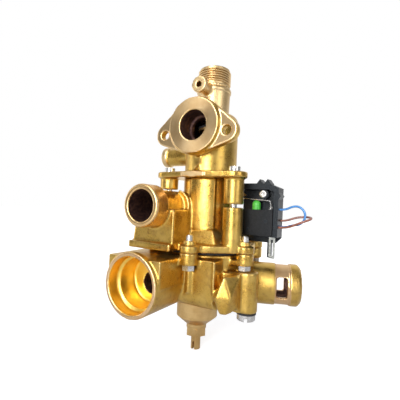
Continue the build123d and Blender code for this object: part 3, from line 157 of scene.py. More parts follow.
def noise(tree, position, size, detail=3.0, rough=0.55):
    """Noise with spots of about the given size in metres."""
    return add(
        tree, "TexNoise", {"Vector": position, "Scale": 1 / size, "Detail": detail, "Roughness": rough}
    ).outputs["Fac"]


def levels(tree, value, low, high, out_low=0.0, out_high=1.0):
    """Stretch the range low to high over out_low to out_high."""
    return add(
        tree,
        "MapRange",
        {"Value": value, "From Min": low, "From Max": high, "To Min": out_low, "To Max": out_high},
        interpolation_type="SMOOTHSTEP",
    ).outputs["Result"]


def blend_colour(tree, factor, first, second):
    """Mix two colours; each is another node's output or three plain values."""
    mixed = add(tree, "Mix", {"Factor": factor}, data_type="RGBA")
    for socket, value in ((mixed.inputs[6], first), (mixed.inputs[7], second)):
        if isinstance(value, bpy.types.NodeSocket):
            tree.links.new(value, socket)
        else:
            socket.default_value = (*value, 1)
    return mixed.outputs[2]


def arithmetic(tree, operation, first, second):
    return add(tree, "Math", {0: first, 1: second}, operation=operation).outputs[0]


def relief(tree, height, depth, before=None, strength=1.0):
    """Bump of a given depth in metres, on top of an earlier one."""
    made = add(tree, "Bump", {"Height": height, "Distance": depth, "Strength": strength})
    if before is not None:
        tree.links.new(before, made.inputs["Normal"])
    return made.outputs["Normal"]


print("shader helpers ready")

# %% [markdown]
# ## Cast brass
# Brass poured into sand comes out with a fine grain and a slightly uneven skin. Handling polishes its edges.
# All of that could be sculpted, but at this size noise in a bump gives the same look for far fewer faces. The
# grain and the skin are two noises in the bump, a slow third one changes colour and roughness in patches, a
# fourth adds stains, and the Geometry node's pointiness finds edges and corners: edges get a lighter colour for
# wear, and inner corners a dark brown that is painted shade.

# %% Cast brass
cast_brass, tree, shader, position = start_material("cast_brass", metallic=1.0)
patches = noise(tree, position, mm(14), detail=4)
stains = noise(tree, position, mm(4), detail=5, rough=0.6)
grain = noise(tree, position, mm(0.55), detail=2)
skin = noise(tree, position, mm(2.4), detail=3)
colour = blend_colour(tree, levels(tree, patches, 0.3, 0.7), (0.57, 0.345, 0.07), (0.68, 0.455, 0.12))
colour = blend_colour(tree, levels(tree, stains, 0.48, 0.72, 0, 0.6), colour, (0.38, 0.20, 0.06))
edges = add(tree, "NewGeometry").outputs["Pointiness"]
colour = blend_colour(tree, levels(tree, edges, 0.51, 0.58, 0, 0.7), colour, (0.90, 0.68, 0.30))
# inner corners darkened to dark brown by pointiness: painted shade
colour = blend_colour(tree, levels(tree, edges, 0.495, 0.43, 0, 0.75), colour, (0.20, 0.11, 0.035))
tree.links.new(colour, shader.inputs["Base Color"])
dull = levels(tree, patches, 0.25, 0.75, 0.26, 0.36)
dull = arithmetic(tree, "ADD", dull, levels(tree, grain, 0.3, 0.7, -0.04, 0.05))
tree.links.new(dull, shader.inputs["Roughness"])
bumps = relief(tree, skin, mm(0.16), strength=0.6)
bumps = relief(tree, grain, mm(0.09), bumps, strength=0.7)
tree.links.new(bumps, shader.inputs["Normal"])
print("cast brass:", len(tree.nodes), "nodes")

# %% [markdown]
# ## Turned brass
# A lathe leaves fine rings about its own axis, and they stretch each reflection into a fan across the face.
# Real grooves would need a mesh finer than a hair, and a bump alone would glitter. The shader's anisotropy gives
# the fan, once it is told which way the rings run: the tangent is the cross product of the turning axis and the
# way out from it.

# %% Turned brass
def turned_brass(name, centre, axis, dark, light, roughness=0.27, ring=0.5, anisotropy=0.7, cut=0.006):
    """Brass turned about the axis through centre, in two tones."""
    material, tree, shader, position = start_material(name, metallic=1.0, roughness=roughness)
    arm = add(tree, "VectorMath", {0: position, 1: centre}, operation="SUBTRACT").outputs[0]
    along = add(tree, "VectorMath", {0: arm, 1: axis}, operation="DOT_PRODUCT").outputs["Value"]
    reach = add(tree, "VectorMath", {0: axis, "Scale": along}, operation="SCALE").outputs[0]
    out = add(tree, "VectorMath", {0: arm, 1: reach}, operation="SUBTRACT").outputs[0]
    radius = add(tree, "VectorMath", {0: out}, operation="LENGTH").outputs["Value"]
    tangent = add(tree, "VectorMath", {0: axis, 1: out}, operation="CROSS_PRODUCT").outputs[0]
    tangent = add(tree, "VectorMath", {0: tangent}, operation="NORMALIZE").outputs[0]
    tree.links.new(tangent, shader.inputs["Tangent"])
    shader.inputs["Anisotropic"].default_value = anisotropy
    rings = add(tree, "CombineXYZ", {"X": radius, "Y": along}).outputs[0]
    fine = noise(tree, rings, mm(ring), detail=4, rough=0.7)
    wide = noise(tree, position, mm(9), detail=3)
    colour = blend_colour(tree, levels(tree, wide, 0.3, 0.7), dark, light)
    colour = blend_colour(tree, levels(tree, fine, 0.35, 0.75, 0, 0.3), colour, [c * 0.86 for c in dark])
    tree.links.new(colour, shader.inputs["Base Color"])
    tree.links.new(levels(tree, fine, 0.3, 0.7, roughness - 0.04, roughness + 0.07), shader.inputs["Roughness"])
    tree.links.new(relief(tree, fine, mm(cut), strength=0.5), shader.inputs["Normal"])
    return material


print("turned brass is ready to use")

# %% [markdown]
# ## One finish for each turned axis
# The flange, the stub, the cup's rim, the tube, the arm's end and the small parts were each turned about an axis
# of their own. One material with a choice of axis would need a mark on every face, so each axis gets its own
# material, with the tone that its metal has.

# %% Six turned finishes
front = Vector((0, -1, 0))
left = Vector((-1, 0, 0))
upright = Vector((0, 0, 1))
arm_way = Vector((cos(radians(20)), sin(radians(20)), 0))
flange_centre = place(0, -31, 92.2)
stub_centre = place(-20.8, -59.8, 31.9)
cup_centre = place(-20.8, -66.6, -20.9)
tube_foot = place(0, 0, 0)
arm_root = place(0, 0, -24.3)
cap_foot = place(0, -12, 0)
flange_brass = turned_brass("flange_face_brass", flange_centre, front, (0.75, 0.50, 0.24), (0.83, 0.60, 0.32), 0.33)
stub_brass = turned_brass("stub_brass", stub_centre, front, (0.74, 0.47, 0.20), (0.86, 0.60, 0.29))
cup_rim_brass = turned_brass("cup_rim_brass", cup_centre, front, (0.70, 0.45, 0.22), (0.80, 0.56, 0.32))
tube_brass = turned_brass("tube_brass", tube_foot, upright, (0.74, 0.52, 0.25), (0.84, 0.62, 0.33), 0.3)
arm_brass = turned_brass("arm_end_brass", arm_root, arm_way, (0.68, 0.42, 0.20), (0.78, 0.53, 0.28), 0.3)
small_brass = turned_brass("small_turned_brass", cap_foot, upright, (0.64, 0.40, 0.15), (0.80, 0.55, 0.24), 0.30)
print("turned finishes: flange, stub, cup rim, tube, arm end and small parts")

# %% [markdown]
# ## Insides
# The bores are painted brown and almost black as painted shade, while the freshly cut cup shines deep gold.
# The painted shade could be a second layer over the brass. Nothing of the brass shows through it, so a material
# of its own is simpler: both are the same metal, and only their colour and gloss differ.

# %% Brown bores and the bright cup
# the bores' dark brown to almost black colour is painted shade
bore_brass, tree, shader, position = start_material("painted_shade_bore_brass", metallic=0.75)
bore_spots = noise(tree, position, mm(2.2), detail=5, rough=0.65)
colour = blend_colour(tree, levels(tree, bore_spots, 0.35, 0.7), (0.060, 0.030, 0.030), (0.190, 0.095, 0.065))
tree.links.new(colour, shader.inputs["Base Color"])
tree.links.new(levels(tree, bore_spots, 0.3, 0.7, 0.34, 0.6), shader.inputs["Roughness"])
tree.links.new(relief(tree, bore_spots, mm(0.15), strength=0.5), shader.inputs["Normal"])

cup_brass = turned_brass(
    "bright_cup_brass", cup_centre, front, (0.92, 0.60, 0.11), (0.98, 0.72, 0.21), 0.34, ring=0.9, anisotropy=0.35
)
print("inner finishes ready")

# %% [markdown]
# ## Steel, rubber and plastic
# The small parts need seven more finishes: zinc-plated steel for the screws, brighter spring steel, dull tin for
# the terminal, black rubber, two black moulded plastics with a fine spark texture, and the switch's green
# plunger. Each could have a tree of its own. They differ only in tone, gloss and the size of their grain, so one
# helper makes them all.

# %% Steel, rubber and plastic
def plain_finish(name, dark, light, metallic, roughness, spot, depth, spread=0.06, specular=0.5):
    """A finish in two close tones, with fine relief; spot and depth are in millimetres."""
    material, tree, shader, position = start_material(name, metallic, roughness, specular)
    spots = noise(tree, position, mm(spot), detail=4)
    fine = noise(tree, position, mm(spot / 6), detail=2)
    tree.links.new(blend_colour(tree, levels(tree, spots, 0.35, 0.65), dark, light), shader.inputs["Base Color"])
    tree.links.new(levels(tree, fine, 0.3, 0.7, roughness - spread, roughness + spread), shader.inputs["Roughness"])
    tree.links.new(relief(tree, fine, mm(depth), strength=0.6), shader.inputs["Normal"])
    return material


zinc_steel = plain_finish("zinc_steel", (0.60, 0.58, 0.55), (0.78, 0.77, 0.75), 1.0, 0.30, 2.5, 0.02)
spring_steel = plain_finish("spring_steel", (0.55, 0.54, 0.52), (0.70, 0.69, 0.67), 1.0, 0.26, 3.0, 0.01)
dull_tin = plain_finish("dull_tin", (0.30, 0.31, 0.29), (0.44, 0.45, 0.42), 0.9, 0.38, 2.0, 0.02)
black_rubber = plain_finish("black_rubber", (0.012, 0.012, 0.013), (0.022, 0.022, 0.023), 0.0, 0.62, 2.0, 0.03)
black_plastic = plain_finish(
    "black_plastic", (0.006, 0.009, 0.012), (0.013, 0.018, 0.023), 0.0, 0.36, 1.2, 0.05, specular=0.3
)
case_plastic = plain_finish(
    "case_plastic", (0.006, 0.007, 0.008), (0.012, 0.013, 0.015), 0.0, 0.42, 1.0, 0.03, specular=0.25
)
green_plastic = plain_finish("green_plastic", (0.06, 0.42, 0.045), (0.10, 0.52, 0.07), 0.0, 0.30, 1.5, 0.01)
print("small-part finishes ready")

# %% [markdown]
# ## Dressing the small solids
# Screws, cap, nut, switch, bracket and the parts inside have the right shape already. They could be copied and
# rounded like the castings below, but they are small, and a solid has to keep its mesh. So each of them only
# gets its finish.

# %% Finishes on the solids
finishes = {
    small_brass: (
        "bottom_cap gland_nut adjusting_spindle diaphragm_spindle valve_spindle drive_collar disc_spacer "
        "lower_gland_bush upper_gland_bush lower_valve_seat lower_valve_disc upper_valve_disc spring_cup "
        "spindle_nut diaphragm_nut"
    ),
    zinc_steel: "upper_flange_screws diaphragm_clamp_screws switch_screw bracket_screw plug_screw",
    spring_steel: (
        "actuating_lever lever_pin switch_blade return_spring spring_retainer retainer_ring "
        "diaphragm_upper_plate diaphragm_lower_plate"
    ),
    dull_tin: "terminal",
    black_rubber: (
        "diaphragm body_seal cap_seal lower_gland_seal upper_gland_seal adjusting_spindle_seal "
        "lower_valve_rubber upper_valve_rubber plug_washer"
    ),
    black_plastic: "switch_bracket",
    case_plastic: "switch_case",
    green_plastic: "switch_plunger",
}
for material, names in finishes.items():
    for name in names.split():
        slots = solids[name].data.materials
        slots.clear()
        slots.append(material)
print("solids with a finish:", sum(len(names.split()) for names in finishes.values()))

# %% [markdown]
# ## Soft edges for the castings
# A casting has no sharp edge that wasn't cut afterwards. A bevel would round edges on a clean model, but it can't
# round a solid of loose triangles. So a copy is merged and rebuilt from small voxels, then smoothed a little.
# That rounds its edges and fills its corners as a mould does. The helpers below add a round bar or a faceted
# lump before the voxels, so the new form grows out of the casting without a seam.

# %% Helpers for forms and modifiers
def add_bar(shape, foot, tip, radius):
    """A short round bar between two places."""
    way = place(*tip) - place(*foot)
    turn = way.to_track_quat("Z", "Y").to_matrix().to_4x4()
    middle = Matrix.Translation((place(*foot) + place(*tip)) / 2) @ turn
    bmesh.ops.create_cone(
        shape, cap_ends=True, segments=24, radius1=mm(radius), radius2=mm(radius), depth=way.length, matrix=middle
    )


def add_lump(shape, places):
    """The tightest closed form about a few places."""
    corners = [shape.verts.new(place(*one)) for one in places]
    made = bmesh.ops.convex_hull(shape, input=corners)
    inside = [item for item in made["geom_interior"] if isinstance(item, bmesh.types.BMVert)]
    bmesh.ops.delete(shape, geom=inside, context="VERTS")


def apply_modifiers(piece):
    """Replace the piece's mesh by what its modifiers make of it."""
    view = bpy.context.evaluated_depsgraph_get()
    made = bpy.data.meshes.new_from_object(piece.evaluated_get(view))
    piece.modifiers.clear()
    piece.data = made


def new_piece(name, shape):
    mesh = bpy.data.meshes.new(name)
    shape.to_mesh(mesh)
    shape.free()
    piece = bpy.data.objects.new(name, mesh)
    scene.collection.objects.link(piece)
    return piece


print("form helpers are ready to use")

# %% Helper that makes a casting
voxel = mm(0.75)
smoothing_rounds = 5


def soft_casting(name, solid_name, add_forms=None, notch=None):
    """A casting with rounded edges and filled corners, after forms are added and a notch is cut."""
    shape = bmesh.new()
    shape.from_mesh(solids[solid_name].data)
    bmesh.ops.remove_doubles(shape, verts=shape.verts, dist=mm(0.005))
    piece = new_piece(name, shape)
    if notch:
        shape = bmesh.new()
        add_lump(shape, notch)
        cutter = new_piece("cutter", shape)
        difference = piece.modifiers.new("notch", "BOOLEAN")
        difference.object = cutter
        difference.operation = "DIFFERENCE"
        difference.solver = "EXACT"
        apply_modifiers(piece)
        bpy.data.objects.remove(cutter)
    if add_forms:
        shape = bmesh.new()
        shape.from_mesh(piece.data)
        add_forms(shape)
        shape.to_mesh(piece.data)
        shape.free()
    remesh = piece.modifiers.new("voxels", "REMESH")
    remesh.mode = "VOXEL"
    remesh.voxel_size = voxel
    smooth = piece.modifiers.new("soft edges", "SMOOTH")
    smooth.factor = 0.5
    smooth.iterations = smoothing_rounds
    apply_modifiers(piece)
    piece.data.shade_smooth()
    return piece


print("voxels of", voxel * 1000, "mm,", smoothing_rounds, "rounds of smoothing")

# %% [markdown]
# ## The three castings
# The solids hold every large form. What they lack is what the mould left: a ridge along the arch, a rib under the
# left screw, a sharp right edge on the core, and a slanted fin with flat facets. These could be sculpted onto the
# finished castings. As bars and lumps between measured places they stay where they were measured.

# %% Forms that the mould left
def middle_forms(shape):
    """The ridge along the arch, the bar on the duct's edge and a stub left by the mould."""
    ridge = ((-13.5, 44.2), (-9.0, 42.2), (-5.8, 38.8), (-4.4, 34.5), (-4.2, 26.0), (-4.4, 14.0))
    for (x, h), (next_x, next_h) in zip(ridge, ridge[1:]):
        add_bar(shape, (x, -24.6, h), (next_x, -24.6, next_h), 1.1)
    add_bar(shape, (-3.6, -44.4, 6.0), (-3.6, -44.4, 29.0), 0.9)
    add_bar(shape, (-36.0, -44.0, 4.6), (-42.0, -44.0, 4.4), 1.1)


def lower_forms(shape):
    """The rib under the left screw, the core's right edge and the slanted fin."""
    add_bar(shape, (5.9, -35.6, -9.0), (5.9, -35.6, -27.5), 2.3)
    add_bar(shape, (25.0, -35.4, -3.6), (25.0, -35.4, -27.0), 1.0)
    add_lump(
        shape,
        (
            (31.8, -33.8, -12.9), (33.5, -24.0, -12.6), (25.2, -36.4, -26.1), (25.2, -22.0, -26.0),
            (28.2, -37.4, -26.4), (37.4, -33.8, -26.5), (38.3, -22.0, -14.0), (38.3, -22.0, -36.0),
            (30.4, -36.0, -37.4), (30.4, -22.0, -37.0), (34.6, -34.6, -37.4), (36.5, -26.0, -14.5),
        ),
    )


print("forms: the arch's ridge, four bars and the fin")

# %% Make the castings
fin_notch = [(x, y, h) for x in (25.3, 39.5) for y in (-39.0, -23.0) for h in (-39.5, -11.0)]
upper_casting = soft_casting("upper_casting", "upper_body")
middle_casting = soft_casting("middle_casting", "middle_body", middle_forms)
lower_casting = soft_casting("lower_casting", "lower_body", lower_forms, fin_notch)
for piece in (upper_casting, middle_casting, lower_casting):
    print(piece.name, "faces:", len(piece.data.polygons))

# %% [markdown]
# ## Cut faces made true
# Smoothing also rounds what a lathe or a mill has cut after casting, and those faces are flat or round to a
# hair. They could be cut again from the solid. Moving the vertices that already lie within half a millimetre
# back onto their plane or their radius gives the same face and keeps the mesh whole.

# %% Helpers for cut faces
def corners_of(piece):
    """The places and normals of a piece's vertices, as two arrays."""
    points = np.empty(len(piece.data.vertices) * 3)
    piece.data.vertices.foreach_get("co", points)
    normals = np.empty(len(piece.data.vertices) * 3)
    piece.data.vertices.foreach_get("normal", normals)
    return points.reshape(-1, 3), normals.reshape(-1, 3)


def move_corners(piece, points):
    piece.data.vertices.foreach_set("co", points.ravel())
    piece.data.update()


def lay_flat(piece, axis, level, reach=0.5):
    """Put the vertices of a face that was cut square to an axis exactly on its plane."""
    points, normals = corners_of(piece)
    way = np.array(axis)
    gap = level - points @ way
    chosen = (abs(gap) < mm(reach)) & (normals @ way > 0.92)
    points[chosen] += gap[chosen, None] * way
    move_corners(piece, points)
    return int(chosen.sum())


def about_axis(points, centre, axis):
    """Distance along an axis in millimetres, distance away from it, and the way out from it."""
    arm = points - np.array(centre)
    along = arm @ np.array(axis)
    out = arm - along[:, None] * np.array(axis)
    radius = np.linalg.norm(out, axis=1)
    return along * 1000, radius * 1000, out / np.maximum(radius, 1e-9)[:, None]


def make_round(piece, centre, axis, radius, start, end, reach=0.45):
    """Put the vertices of a turned side exactly on its radius, between two distances along the axis."""
    points, normals = corners_of(piece)
    along, away, out = about_axis(points, centre, axis)
    chosen = (along > start) & (along < end) & (abs(away - radius) < reach)
    chosen &= abs((normals * out).sum(axis=1)) > 0.9
    points[chosen] += out[chosen] * mm(radius - away[chosen])[:, None]
    move_corners(piece, points)
    return int(chosen.sum())


print("helpers for cut faces are ready to use")

# %% [markdown]
# ## Which face was cut, and which is as cast
# Each casting carries several finishes. They could be painted by hand or blended by a mask. A cut face has a
# sharp border, though, and is known by where it lies and which way it looks. So a helper hands every face's
# centre and normal to a short test, and gives the finish to those that pass.

# %% Helpers that share out the finishes
def paint(piece, material, test):
    """Give a material to the faces that pass a test of their centres and normals."""
    if material.name not in piece.data.materials:
        piece.data.materials.append(material)
    count = len(piece.data.polygons)
    centres = np.empty(count * 3)
    piece.data.polygons.foreach_get("center", centres)
    normals = np.empty(count * 3)
    piece.data.polygons.foreach_get("normal", normals)
    slots = np.empty(count, dtype=np.int32)
    piece.data.polygons.foreach_get("material_index", slots)
    chosen = test(centres.reshape(-1, 3), normals.reshape(-1, 3))
    slots[chosen] = piece.data.materials.find(material.name)
    piece.data.polygons.foreach_set("material_index", slots)
    return int(chosen.sum())


def facing_axis(normals, out):
    """Cosine between each face's normal and the way out from an axis; below 0 the face looks inwards."""
    return (normals * out).sum(axis=1)


print("finish helpers are ready to use")

# %% [markdown]
# ## The upper casting
# Its flange was milled, its tube and its nipple were turned, and its bores are painted dark brown as painted
# shade. The side port is as cast but for its turned lip.

# %% Cut faces and finishes of the upper casting
nipple_centre = place(0, -25, 124.4)
side_port_centre = place(-44.7, 0, 74.4)
flange_step = mm(2.5)
flange_bore_radius = 11.0
collar_radius = 13.9
groove_radius = 12.0
moved = lay_flat(upper_casting, front, 0.0)
moved += lay_flat(upper_casting, front, -flange_step)
moved += make_round(upper_casting, flange_centre, front, flange_bore_radius, -13.5, -0.5)
moved += make_round(upper_casting, tube_foot, upright, collar_radius, 124.6, 127.1, reach=1.3)
moved += make_round(upper_casting, tube_foot, upright, groove_radius, 127.6, 128.8, reach=2.0)
print("vertices made true:", moved)


def flange_front(centres, normals):
    """The milled front of the flange and of its two ears."""
    return (normals[:, 1] < -0.8) & (centres[:, 1] < mm(3.2))


def inside_upper(centres, normals):
    """The flange's bore, the chamber, the tube's bore and the side port's bore."""
    along, radius, _ = about_axis(centres, flange_centre, front)
    height, from_axis, sideways = about_axis(centres, tube_foot, upright)
    port, from_port, _ = about_axis(centres, side_port_centre, left)
    inward = facing_axis(normals, sideways) < 0.3
    flange_bore = (radius < flange_bore_radius + 0.5) & (along < -0.6) & (along > -24)
    chamber = inward & (from_axis < 17) & (height > 54) & (height < 105)
    tube_bore = inward & (from_axis < 11.2) & (height < 142.8)
    port_bore = (from_port < 5.9) & (port < -0.5) & (port > -30)
    return flange_bore | chamber | tube_bore | port_bore


def turned_upper(centres, normals):
    """The tube, the lip of the side port and the head of the nipple."""
    height, _, _ = about_axis(centres, tube_foot, upright)
    port, _, _ = about_axis(centres, side_port_centre, left)
    nipple, from_nipple, _ = about_axis(centres, nipple_centre, front)
    return (height > 107.5) | (port > -5.2) | (nipple > -3.4) & (from_nipple < 7)


upper_casting.data.materials.append(cast_brass)
print("tube faces:", paint(upper_casting, tube_brass, turned_upper))
print("flange faces:", paint(upper_casting, flange_brass, flange_front))
# the bores get the dark brown of painted shade
print("painted shade faces:", paint(upper_casting, bore_brass, inside_upper))

# %% [markdown]
# ## The middle casting
# Only the end of its stub was turned, inside and out. The rest is as cast, down to the seams of the mould, and
# the chamber behind the stub is painted dark brown as painted shade.

# %% Cut faces and finishes of the middle casting
stub_radius = 15.0
stub_bore_radius = 11.0


def stub_side(centres, normals):
    """The turned collar at the end of the stub."""
    along, radius, _ = about_axis(centres, stub_centre, front)
    return (along > -13.7) & (radius > 10.6) & (radius < 16)


def inside_middle(centres, normals):
    """The stub's bore and the chamber under the column."""
    along, radius, out = about_axis(centres, stub_centre, front)
    height, from_axis, _ = about_axis(centres, tube_foot, upright)
    inward = facing_axis(normals, out) < 0.3
    stub_bore = inward & (radius < stub_bore_radius + 0.4) & (along < -1.2) & (along > -56)
    chamber = (from_axis < 17.3) & (height < 36) & (height > 1)
    return stub_bore | chamber


moved = make_round(middle_casting, stub_centre, front, stub_radius, -13.2, -0.9)
moved += make_round(middle_casting, stub_centre, front, stub_bore_radius, -27.5, -0.9)
moved += lay_flat(middle_casting, front, -stub_centre.y)
print("vertices made true:", moved)
middle_casting.data.materials.append(cast_brass)
print("stub faces:", paint(middle_casting, stub_brass, stub_side))
# the stub's bore and the chamber get the dark brown of painted shade
print("painted shade faces:", paint(middle_casting, bore_brass, inside_middle))

# %% [markdown]
# ## The lower casting
# Its cup was bored in two steps and shines, the rim in front of it was faced, and a band round the arm was turned
# where the clip's slots are. The water ways behind the cup and in the arm are painted dark brown as painted shade.

# %% Cut faces and finishes of the lower casting
cup_radius = 19.0
cup_step_radius = 16.8
arm_band_radius = 15.0


def cup_rim(centres, normals):
    """The faced ring in front of the cup."""
    along, radius, _ = about_axis(centres, cup_centre, front)
    return (along > -0.5) & (radius < 23)


def cup_inside(centres, normals):
    """Both steps of the cup and its floor."""
    along, radius, _ = about_axis(centres, cup_centre, front)
    return (along > -24.6) & (along < -0.4) & (radius < 19.6)


def water_ways(centres, normals):
    """The bore behind the cup and the arm's bore."""
    along, radius, out = about_axis(centres, cup_centre, front)
    cup_bore = (along < -24.2) & (along > -62) & (radius < 11.5) & (facing_axis(normals, out) < 0.3)
    reach, from_arm, out = about_axis(centres, arm_root, arm_way)
    arm_bore = (from_arm < 11.9) & (reach > 16) & (reach < 72) & (facing_axis(normals, out) < 0.3)
    return cup_bore | arm_bore


def arm_band(centres, normals):
    """The turned band round the arm."""
    reach, from_arm, _ = about_axis(centres, arm_root, arm_way)
    return (reach > 53.6) & (reach < 65.2) & (from_arm > 11.8)


moved = make_round(lower_casting, cup_centre, front, cup_radius, -8.6, -0.6)
moved += make_round(lower_casting, cup_centre, front, cup_step_radius, -23.6, -9.4)
moved += make_round(lower_casting, arm_root, arm_way, arm_band_radius, 54.2, 64.2)
moved += lay_flat(lower_casting, front, -cup_centre.y)
print("vertices made true:", moved)
lower_casting.data.materials.append(cast_brass)
print("arm band faces:", paint(lower_casting, arm_brass, arm_band))
print("cup faces:", paint(lower_casting, cup_brass, cup_inside))
print("rim faces:", paint(lower_casting, cup_rim_brass, cup_rim))
# the water ways get the dark brown of painted shade
print("water way faces:", paint(lower_casting, bore_brass, water_ways))

# %% [markdown]
# ## The pipe thread
# The solid has a plain rod where the pipe thread is. A bump could only pretend a thread, and its outline would
# stay straight. A real thread is one ridge wound about the tube, so Geometry Nodes draw a spiral, sweep a small
# pointed section along it and thin both ends out. The pitch and the depth are the tree's inputs, so another pipe
# thread only needs other numbers.

# %% Node tree for a thread
def thread_tree():
    """A node tree that winds one ridge upwards about the Z axis."""
    tree = bpy.data.node_groups.new("thread ridge", "GeometryNodeTree")
    for name, kind, value in (
        ("Radius", "NodeSocketFloat", 0.0132),
        ("Pitch", "NodeSocketFloat", 0.001814),
        ("Depth", "NodeSocketFloat", 0.00116),
        ("Turns", "NodeSocketFloat", 7.0),
        ("Points Each Turn", "NodeSocketInt", 64),
        ("Material", "NodeSocketMaterial", None),
    ):
        socket = tree.interface.new_socket(name, in_out="INPUT", socket_type=kind)
        if value is not None:
            socket.default_value = value
    tree.interface.new_socket("Geometry", in_out="OUTPUT", socket_type="NodeSocketGeometry")
    given = tree.nodes.new("NodeGroupInput").outputs
    result = tree.nodes.new("NodeGroupOutput")

    def step(kind, inputs, **settings):
        made = tree.nodes.new(kind)
        for name, value in settings.items():
            setattr(made, name, value)
        for name, value in inputs.items():
            if isinstance(value, bpy.types.NodeSocket):
                tree.links.new(value, made.inputs[name])
            else:
                made.inputs[name].default_value = value
        return made

    def sum_up(operation, first, second):
        return step("ShaderNodeMath", {0: first, 1: second}, operation=operation).outputs[0]

    def corner(deep, high):
        """A corner of the ridge's section: shares of the depth, outwards, and of the pitch."""
        reach = sum_up("MULTIPLY", given["Depth"], deep)
        return step("ShaderNodeCombineXYZ", {"X": reach, "Y": sum_up("MULTIPLY", given["Pitch"], high)}).outputs[0]

    root_radius = sum_up("SUBTRACT", given["Radius"], given["Depth"])
    spiral = step(
        "GeometryNodeCurveSpiral",
        {
            "Resolution": given["Points Each Turn"],
            "Rotations": given["Turns"],
            "Start Radius": root_radius,
            "End Radius": root_radius,
            "Height": sum_up("MULTIPLY", given["Turns"], given["Pitch"]),
        },
    )
    upright_normals = step("GeometryNodeSetCurveNormal", {"Curve": spiral.outputs[0]}, mode="Z_UP")
    section = step(
        "GeometryNodeCurvePrimitiveQuadrilateral",
        {
            "Point 1": corner(0.0, 0.48),
            "Point 2": corner(-1.0, 0.06),
            "Point 3": corner(-1.0, -0.06),
            "Point 4": corner(0.0, -0.48),
        },
        mode="POINTS",
    )
    share = step("GeometryNodeSplineParameter", {}).outputs["Factor"]
    fade_in = step("ShaderNodeMapRange", {"Value": share, "From Min": 0.0, "From Max": 0.08, "To Min": 0.05})
    fade_out = step("ShaderNodeMapRange", {"Value": share, "From Min": 1.0, "From Max": 0.9, "To Min": 0.05})
    ridge = step(
        "GeometryNodeCurveToMesh",
        {
            "Curve": upright_normals.outputs[0],
            "Profile Curve": section.outputs[0],
            "Scale": sum_up("MINIMUM", fade_in.outputs["Result"], fade_out.outputs["Result"]),
            "Fill Caps": True,
        },
    )
    whole = step("GeometryNodeRealizeInstances", {"Geometry": ridge.outputs[0]})
    coated = step("GeometryNodeSetMaterial", {"Geometry": whole.outputs[0], "Material": given["Material"]})
    tree.links.new(coated.outputs[0], result.inputs[0])
    return tree


ridge_tree = thread_tree()
print("thread tree:", len(ridge_tree.nodes), "nodes")

# %% [markdown]
# ## Winding the pipe thread
# The tree runs on an empty mesh, and what it makes becomes a plain mesh. The rod of the upper casting is drawn in
# to the thread's root, so that the ridge stands on it as if it had been cut from it.

# %% Wind the pipe thread
def run_tree(name, tree, values):
    """Run a node tree with named inputs on an empty mesh and keep the result as a plain mesh."""
    piece = bpy.data.objects.new(name, bpy.data.meshes.new(name))
    scene.collection.objects.link(piece)
    modifier = piece.modifiers.new("tree", "NODES")
    modifier.node_group = tree
    sockets = {item.name: item.identifier for item in tree.interface.items_tree if item.in_out == "INPUT"}
    for label, value in values.items():
        modifier[sockets[label]] = value
    apply_modifiers(piece)
    return piece


thread_foot_h = 129.9
thread_radius = 13.2
thread_pitch = 1.814
thread_depth = 1.1
rod_radius = 12.15
pipe_thread = run_tree(
    "pipe_thread",
    ridge_tree,
    {
        "Radius": mm(thread_radius),
        "Pitch": mm(thread_pitch),
        "Depth": mm(thread_depth),
        "Turns": 7.1,
        "Points Each Turn": 96,
        "Material": tube_brass,
    },
)
pipe_thread.data.transform(Matrix.Translation(place(0, 0, thread_foot_h)))
points, normals = corners_of(upper_casting)
height, radius, out = about_axis(points, tube_foot, upright)
rod = (height > 129.0) & (height < 144) & (radius > rod_radius) & (radius < 13.6)
points[rod] -= out[rod] * mm(radius[rod] - rod_radius)[:, None]
move_corners(upper_casting, points)
print("thread faces:", len(pipe_thread.data.polygons), "rod vertices brought in:", int(rod.sum()))

# %% [markdown]
# ## The wires
# Two thin wires leave the switch bracket and loop back into it. A chain of cylinders would show its joints, so
# each wire is one smooth NURBS curve with a round section of 1.6 mm, drawn by a few points that are measured from
# the valve's axis. Its plastic has a light coat, which gives the wire its narrow shine.

# %% Wires
def insulation(name, dark, light):
    """Soft coloured plastic with a thin coat."""
    material, tree, shader, position = start_material(name, 0.0, 0.36)
    shader.inputs["Coat Weight"].default_value = 0.25
    cloud = noise(tree, position, mm(3), detail=2)
    fine = noise(tree, position, mm(0.3), detail=2)
    tree.links.new(blend_colour(tree, levels(tree, cloud, 0.3, 0.7), dark, light), shader.inputs["Base Color"])
    tree.links.new(relief(tree, fine, mm(0.01), strength=0.4), shader.inputs["Normal"])
    return material


wire_thickness = mm(1.6)
blue_points = (
    (57.0, 3.0, 33.3), (61.0, 3.0, 33.3), (66.5, 2.0, 36.1), (71.3, 1.2, 36.0), (75.1, 0.9, 32.3),
    (75.1, 0.9, 26.9), (71.3, 1.8, 23.1), (66.0, 4.2, 22.6), (61.0, 5.4, 20.6), (57.0, 5.4, 20.6),
)
brown_points = (
    (57.0, 6.4, 25.2), (61.0, 6.4, 25.2), (68.0, 7.3, 28.2), (74.9, 8.1, 28.9), (78.9, 4.7, 28.5),
    (78.9, -0.5, 27.3), (75.1, -3.9, 25.8), (69.0, -2.6, 23.0), (62.0, 1.0, 20.4), (57.0, 1.0, 20.4),
)


def wire(name, node, points, material):
    """A wire through points in millimetres, in place of a solid."""
    curve = bpy.data.curves.new(name, "CURVE")
    curve.dimensions = "3D"
    curve.bevel_depth = wire_thickness / 2
    curve.bevel_resolution = 5
    curve.use_fill_caps = True
    spline = curve.splines.new("NURBS")
    spline.points.add(len(points) - 1)
    for point, (x, y, h) in zip(spline.points, points):
        point.co = (*place(x, y, h), 1)
    spline.order_u = 3
    spline.use_endpoint_u = True
    spline.resolution_u = 16
    piece = bpy.data.objects.new(name, curve)
    scene.collection.objects.link(piece)
    curve.materials.append(material)
    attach(piece, "housing")
    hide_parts(node)


